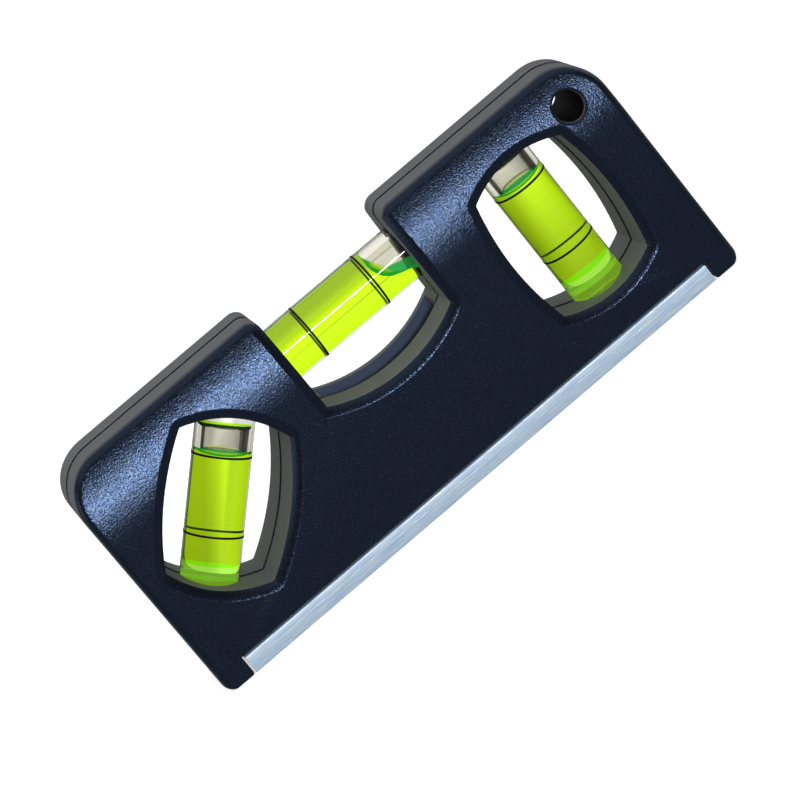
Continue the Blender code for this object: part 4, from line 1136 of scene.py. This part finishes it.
def recess_bar(name, turn):
    """One tapered arm of the cross recess, turned about the screw's axis."""
    low, high = SCREW_HEAD_HEIGHT - RECESS_DEPTH, SCREW_HEAD_HEIGHT + OVER / 2
    tapers = ((low, RECESS_FLOOR_SPAN_SHARE, RECESS_FLOOR_WIDTH_SHARE), (high, 1.0, 1.0))
    about = Matrix.Rotation(turn, 4, "Z")
    loops = []
    for height, span_share, width_share in tapers:
        x, y = RECESS_SPAN / 2 * span_share, RECESS_WIDTH / 2 * width_share
        loops.append([about @ Vector((px, py, height)) for px, py in box_loop(-x, -y, x, y)])
    return capped(name, *loops)


def housing_screws(shades):
    """Six screws with a tapered cross recess, cut once and copied."""
    pattern = finish_mesh("screw_pattern", turned_mesh(screw_profile(), SMALL_SEGMENTS))
    cut_away(pattern, [recess_bar("bar_along", 0.0), recess_bar("bar_across", math.pi / 2)])
    give_shades(pattern, shades)
    mesh = pattern.data
    # Faces down in the cross recess take the darker recess steel, a painted shade
    for face in mesh.polygons:
        reach = min(math.hypot(face.center.x, face.center.y), SCREW_HEAD_RADIUS)
        lean = 1 - math.sqrt(1 - (reach / SCREW_HEAD_RADIUS) ** 2)
        depth_share = (SCREW_HEAD_HEIGHT - SCREW_HEAD_ROUND * lean - face.center.z) / RECESS_DEPTH
        if reach < RECESS_SPAN / 2 and RECESS_SHALLOWEST_SHARE < depth_share < RECESS_DEEPEST_SHARE:
            face.material_index = RECESS_SHADE
    smooth(mesh)
    bpy.data.objects.remove(pattern, do_unlink=True)
    upright = Matrix.Rotation(-math.pi / 2, 4, "X")
    for number, (x, z) in enumerate(SCREW_PLACES, start=1):
        screw = new_object(f"cross_screw_{number}", mesh.copy())
        turn = Matrix.Rotation(SCREW_TURN * number, 4, "Z")
        screw.matrix_world = Matrix.Translation((x, SCREW_SEAT_Y, z)) @ upright @ turn
        dressed(screw, "housing", "screw_steel", f"housing_screw_{number}")


# Vials


def tube_piece(vial, matrix, shades):
    """The clear rod. Its bore is wetted down to the plug's end, and smeared with glue below that, which
    carries a painted glow.
    """
    e, b = TUBE_EDGE_ROUND, BUBBLE_CORNER
    rim = TUBE_RADIUS - e
    plug_end = vial.face - PLUG_LENGTH
    profile = [(0.0, vial.high)]
    profile += arc_points((rim, vial.high - e), e, math.pi / 2, -math.pi / 2, ROD_ARC_STEPS)
    profile += arc_points((rim, vial.low + e), e, 0.0, -math.pi / 2, ROD_ARC_STEPS)
    profile += [(BORE_RADIUS + e / 2, vial.low), (BORE_RADIUS, vial.low + e / 2), (BORE_RADIUS, plug_end)]
    profile += arc_points((BORE_RADIUS - b, vial.end - b), b, 0.0, math.pi / 2, ROD_ARC_STEPS)
    profile += [(0.0, vial.end)]
    clear = [shades["rod"], shades["bore"], shades["sealed"]]
    tube = turned_piece(vial.name + "_rod", profile, clear, matrix)
    back = matrix.inverted()
    # Bore faces below the plug take the glue, whose glow is painted light
    for face in tube.data.polygons:
        centre = back @ face.center
        if math.hypot(centre.x, centre.y) < BORE_RADIUS + e / 4 and centre.z < vial.end + SAME_PLACE:
            face.material_index = BORE_SHADE if centre.z > plug_end else GLUE_SHADE
    dressed(tube, "housing", "vial_acrylic", vial.name + "_tube")


def plug_piece(vial, matrix, shades):
    """The plug with its groove, set in glue."""
    r, face = BORE_RADIUS - CORE_GAP, vial.face
    groove = r - PLUG_GROOVE_DEPTH
    top = face - PLUG_GROOVE_START
    low = top - PLUG_GROOVE_WIDTH
    end = face - PLUG_LENGTH
    profile = [(0.0, face), (r, face), (r, top), (groove, top), (groove, low), (r, low), (r, end), (0.0, end)]
    plug = turned_piece(vial.name + "_stopper", profile, [shades["plug"]], matrix)
    dressed(plug, "housing", "vial_plug", vial.name + "_plug")


def meniscus_rows(vial, radius):
    """The liquid surface from wall to middle, as (radius, height): it climbs the wall and hangs in a bowl."""
    rows = []
    for share in MENISCUS_SHARES:
        rise = max(0.0, share - MENISCUS_CLIMB_SHARE) / (1 - MENISCUS_CLIMB_SHARE)
        rows.append((radius * share, vial.climb * rise**3 - vial.sag * (1 - share**2)))
    return rows


def bubble_piece(vial, matrix, shades):
    """The air, from the liquid surface to the blind end of the bore."""
    prefix = vial.name
    r, b = BORE_RADIUS - 2 * CORE_GAP, BUBBLE_CORNER
    length = vial.end - vial.surface - 2 * FILM
    lower = meniscus_rows(vial, r)[::-1]
    upper = arc_points((r - b, length - b), b, 0.0, math.pi / 2, BUBBLE_ARC_STEPS)
    profile = lower + upper + [(0.0, length)]
    place = matrix @ Matrix.Translation((0.0, 0.0, vial.surface))
    lean = (vial.lean, range(len(lower)))
    bubble = turned_piece(prefix + "_air_bubble", profile, [shades["air"], shades["bore"]], place, lean=lean)
    open_to_spirit = 1 + (len(lower) - 1) * ROUND_SEGMENTS
    for face in bubble.data.polygons:
        if max(face.vertices) < open_to_spirit:
            face.material_index = BORE_SHADE
    dressed(bubble, prefix + "_air", "vial_bubble", prefix + "_bubble")


def liquid_pieces(vial, matrix, shades):
    """The spirit below the bubble and the film above it. Each has one end on the bubble, one on the vial."""
    prefix = vial.name
    r = BORE_RADIUS - CORE_GAP
    low = vial.face + CORE_GAP
    rows = [(radius, vial.surface - CORE_GAP + height) for radius, height in meniscus_rows(vial, r)]
    profile = [(0.0, low), (r, low)] + rows
    lean = (vial.lean, range(2, len(profile)))
    green = [shades["spirit"], shades["meniscus"]]
    below = turned_piece(prefix + "_spirit", profile, green, matrix, lean=lean)
    # The top faces take the meniscus material with its painted reflection and glow
    for face in below.data.polygons:
        if min(face.vertices) > ROUND_SEGMENTS:
            face.material_index = SURFACE_SHADE
    reach = min(height + leaned(-radius, vial.lean) for radius, height in rows)
    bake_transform(below)
    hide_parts(prefix + "_liquid")
    high = vial.end - CORE_GAP
    film = [(0.0, high - FILM), (r, high - FILM), (r, high), (0.0, high)]
    above = turned_piece(prefix + "_film", film, [shades["spirit"]], matrix)
    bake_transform(above)
    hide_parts(prefix + "_liquid")


def ring_lines(vial, matrix, shades):
    """The two printed lines round the rod."""
    inner = TUBE_RADIUS + RING_GAP
    outer = inner + RING_THICKNESS
    half = RING_WIDTH / 2
    for label, offset in (("low", -RING_SPACING / 2), ("high", RING_SPACING / 2)):
        z = vial.rings + offset
        band = [(inner, z - half), (outer, z - half), (outer, z + half), (inner, z + half)]
        ring = turned_piece(f"{vial.name}_line_{label}", band, [shades["ring"]], matrix, closed=True)
        dressed(ring, "housing", "ring_paint", f"{vial.name}_ring_{label}")


# Studio


def floor():
    """A plain pale floor: white to the eye with soft shadows, duller in reflections and through vials."""
    work = bmesh.new()
    bmesh.ops.create_grid(work, x_segments=1, y_segments=1, size=FLOOR_SIZE)
    ground = finish_mesh("floor", work)
    add, show = blank_material("pale_floor")
    path = add("LightPath").outputs
    place = add("SeparateXYZ", Vector=add("NewGeometry").outputs["Position"]).outputs
    matt = add("BsdfDiffuse", Color=rgb("floor")).outputs[0]
    lift = add("Emission", Color=rgb("white"), Strength=FLOOR_LIFT).outputs[0]
    seen = add("AddShader", _0=matt, _1=lift).outputs[0]
    direct = add("MixShader", _0=path["Is Camera Ray"], _1=matt, _2=seen).outputs[0]
    rearward = mapped(add, place["Y"], GLOSS_CAST_Y)
    cast = mixed_colour(add, rearward, *tones("floor_cast"))
    sheen = add("Emission", Color=cast, Strength=mapped(add, place["Y"], GLOSS_TONE_Y, GLOSS_TONE)).outputs[0]
    mirrored = add("MixShader", _0=path["Is Glossy Ray"], _1=direct, _2=sheen).outputs[0]
    deeper = mapped(add, place["Y"], THROUGH_TONE_Y, THROUGH_TONE)
    pool = mapped(add, distance_from(add, place["X"], FLOOR_POOL_X), FLOOR_POOL_REACH, FLOOR_POOL_TONE)
    strength = add("Math", {"operation": "MULTIPLY"}, _0=deeper, _1=pool).outputs[0]
    glow = add("Emission", Color=rgb("white"), Strength=strength).outputs[0]
    final = add("MixShader", _0=path["Is Transmission Ray"], _1=mirrored, _2=glow).outputs[0]
    ground.data.materials.append(show(final))


def surroundings():
    """White to the eye and through vials, a bright backdrop in reflections, and a dim room otherwise."""
    world = bpy.data.worlds.new("studio")
    bpy.context.scene.world = world
    world.use_nodes = True
    tree = world.node_tree
    tree.nodes.clear()
    add = node_adder(tree)
    path = add("LightPath").outputs
    way = add("SeparateXYZ", Vector=add("TexCoord").outputs["Generated"]).outputs
    backdrop = mapped(add, way["Y"], BACKDROP_Y, BACKDROP_TONE)
    glossy = mixed(add, path["Is Glossy Ray"], ROOM_TONE, backdrop)
    pool = mapped(add, distance_from(add, way["X"], ROOM_POOL_X), ROOM_POOL_REACH, ROOM_POOL_TONE)
    through = mixed(add, path["Is Transmission Ray"], glossy, pool)
    strength = mixed(add, path["Is Camera Ray"], through, SEEN_TONE)
    light = add("Background", Color=rgb("white"), Strength=strength)
    output = add("OutputWorld")
    tree.links.new(light.outputs[0], output.inputs["Surface"])


def area_lamp(name, place, width, height, power):
    """A soft oval lamp that the vials don't show through them."""
    lamp = bpy.data.lights.new(name, "AREA")
    lamp.shape = "ELLIPSE"
    lamp.size = width
    lamp.size_y = height
    lamp.energy = power
    made = new_object(name, lamp)
    made.location = place
    made.rotation_euler = (Vector(LAMP_AIM) - Vector(place)).to_track_quat("-Z", "Y").to_euler()
    made.visible_transmission = False


def camera():
    """The photograph's view, with the tool rolled in the frame."""
    a, e = VIEW_AZIMUTH, VIEW_ELEVATION
    back = Vector((math.sin(a) * math.cos(e), -math.cos(a) * math.cos(e), math.sin(e)))
    right = Vector((math.cos(a), math.sin(a), 0.0))
    up = back.cross(right)
    c, s = math.cos(VIEW_ROLL), math.sin(VIEW_ROLL)
    local_x, local_y = right * c - up * s, right * s + up * c
    turn = Matrix((local_x, local_y, back)).transposed().to_4x4()
    lens = bpy.data.cameras.new("camera")
    lens.sensor_width = SENSOR_WIDTH
    lens.lens = FOCAL_PIXELS / FRAME_PIXELS * SENSOR_WIDTH
    lens.clip_start = VIEW_NEAREST
    made = new_object("camera", lens)
    made.matrix_world = Matrix.Translation(VIEW_TARGET + back * VIEW_DISTANCE) @ turn
    bpy.context.scene.camera = made


plastics = [moulded_plastic(*kind) for kind in PLASTIC_KINDS]
half_shell("front_shell", FRONT, plastics)
half_shell("rear_shell", REAR, plastics)
base_rail(brushed_aluminium())
give_shades(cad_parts["magnet_strip"], [magnet_rubber()])
# The second steel is a darker copy, painted shade for the cross recesses
housing_screws([plated_steel("plated_steel", "steel"), plated_steel("recess_painted_shade", "recess")])
vial_shades = {
    "rod": polished_acrylic("clear_acrylic", ACRYLIC_IOR, "rod"),
    "bore": bore_skin(),
    # The plug and the glue carry a painted glow, added as emission
    "plug": spirit("plug_acrylic", "plug", "plug_shadow", "plug_painted_glow"),
    "sealed": spirit("glue_with_painted_glow", "glue", "plug_shadow", "glue_painted_glow"),
    "spirit": spirit("spirit_green", "spirit", "spirit_shadow"),
    "air": polished_acrylic("air_in_acrylic", 1.0 / ACRYLIC_IOR, "air"),
    "meniscus": meniscus_painted_reflection(),
    "ring": ring_paint(),
}
for one_vial in VIALS:
    for make_piece in (tube_piece, plug_piece, liquid_pieces, bubble_piece, ring_lines):
        make_piece(one_vial, vial_frame(one_vial), vial_shades)
floor()
surroundings()
for lamp_settings in LAMPS:
    area_lamp(*lamp_settings)
camera()
bpy.context.scene.view_settings.view_transform = "Standard"
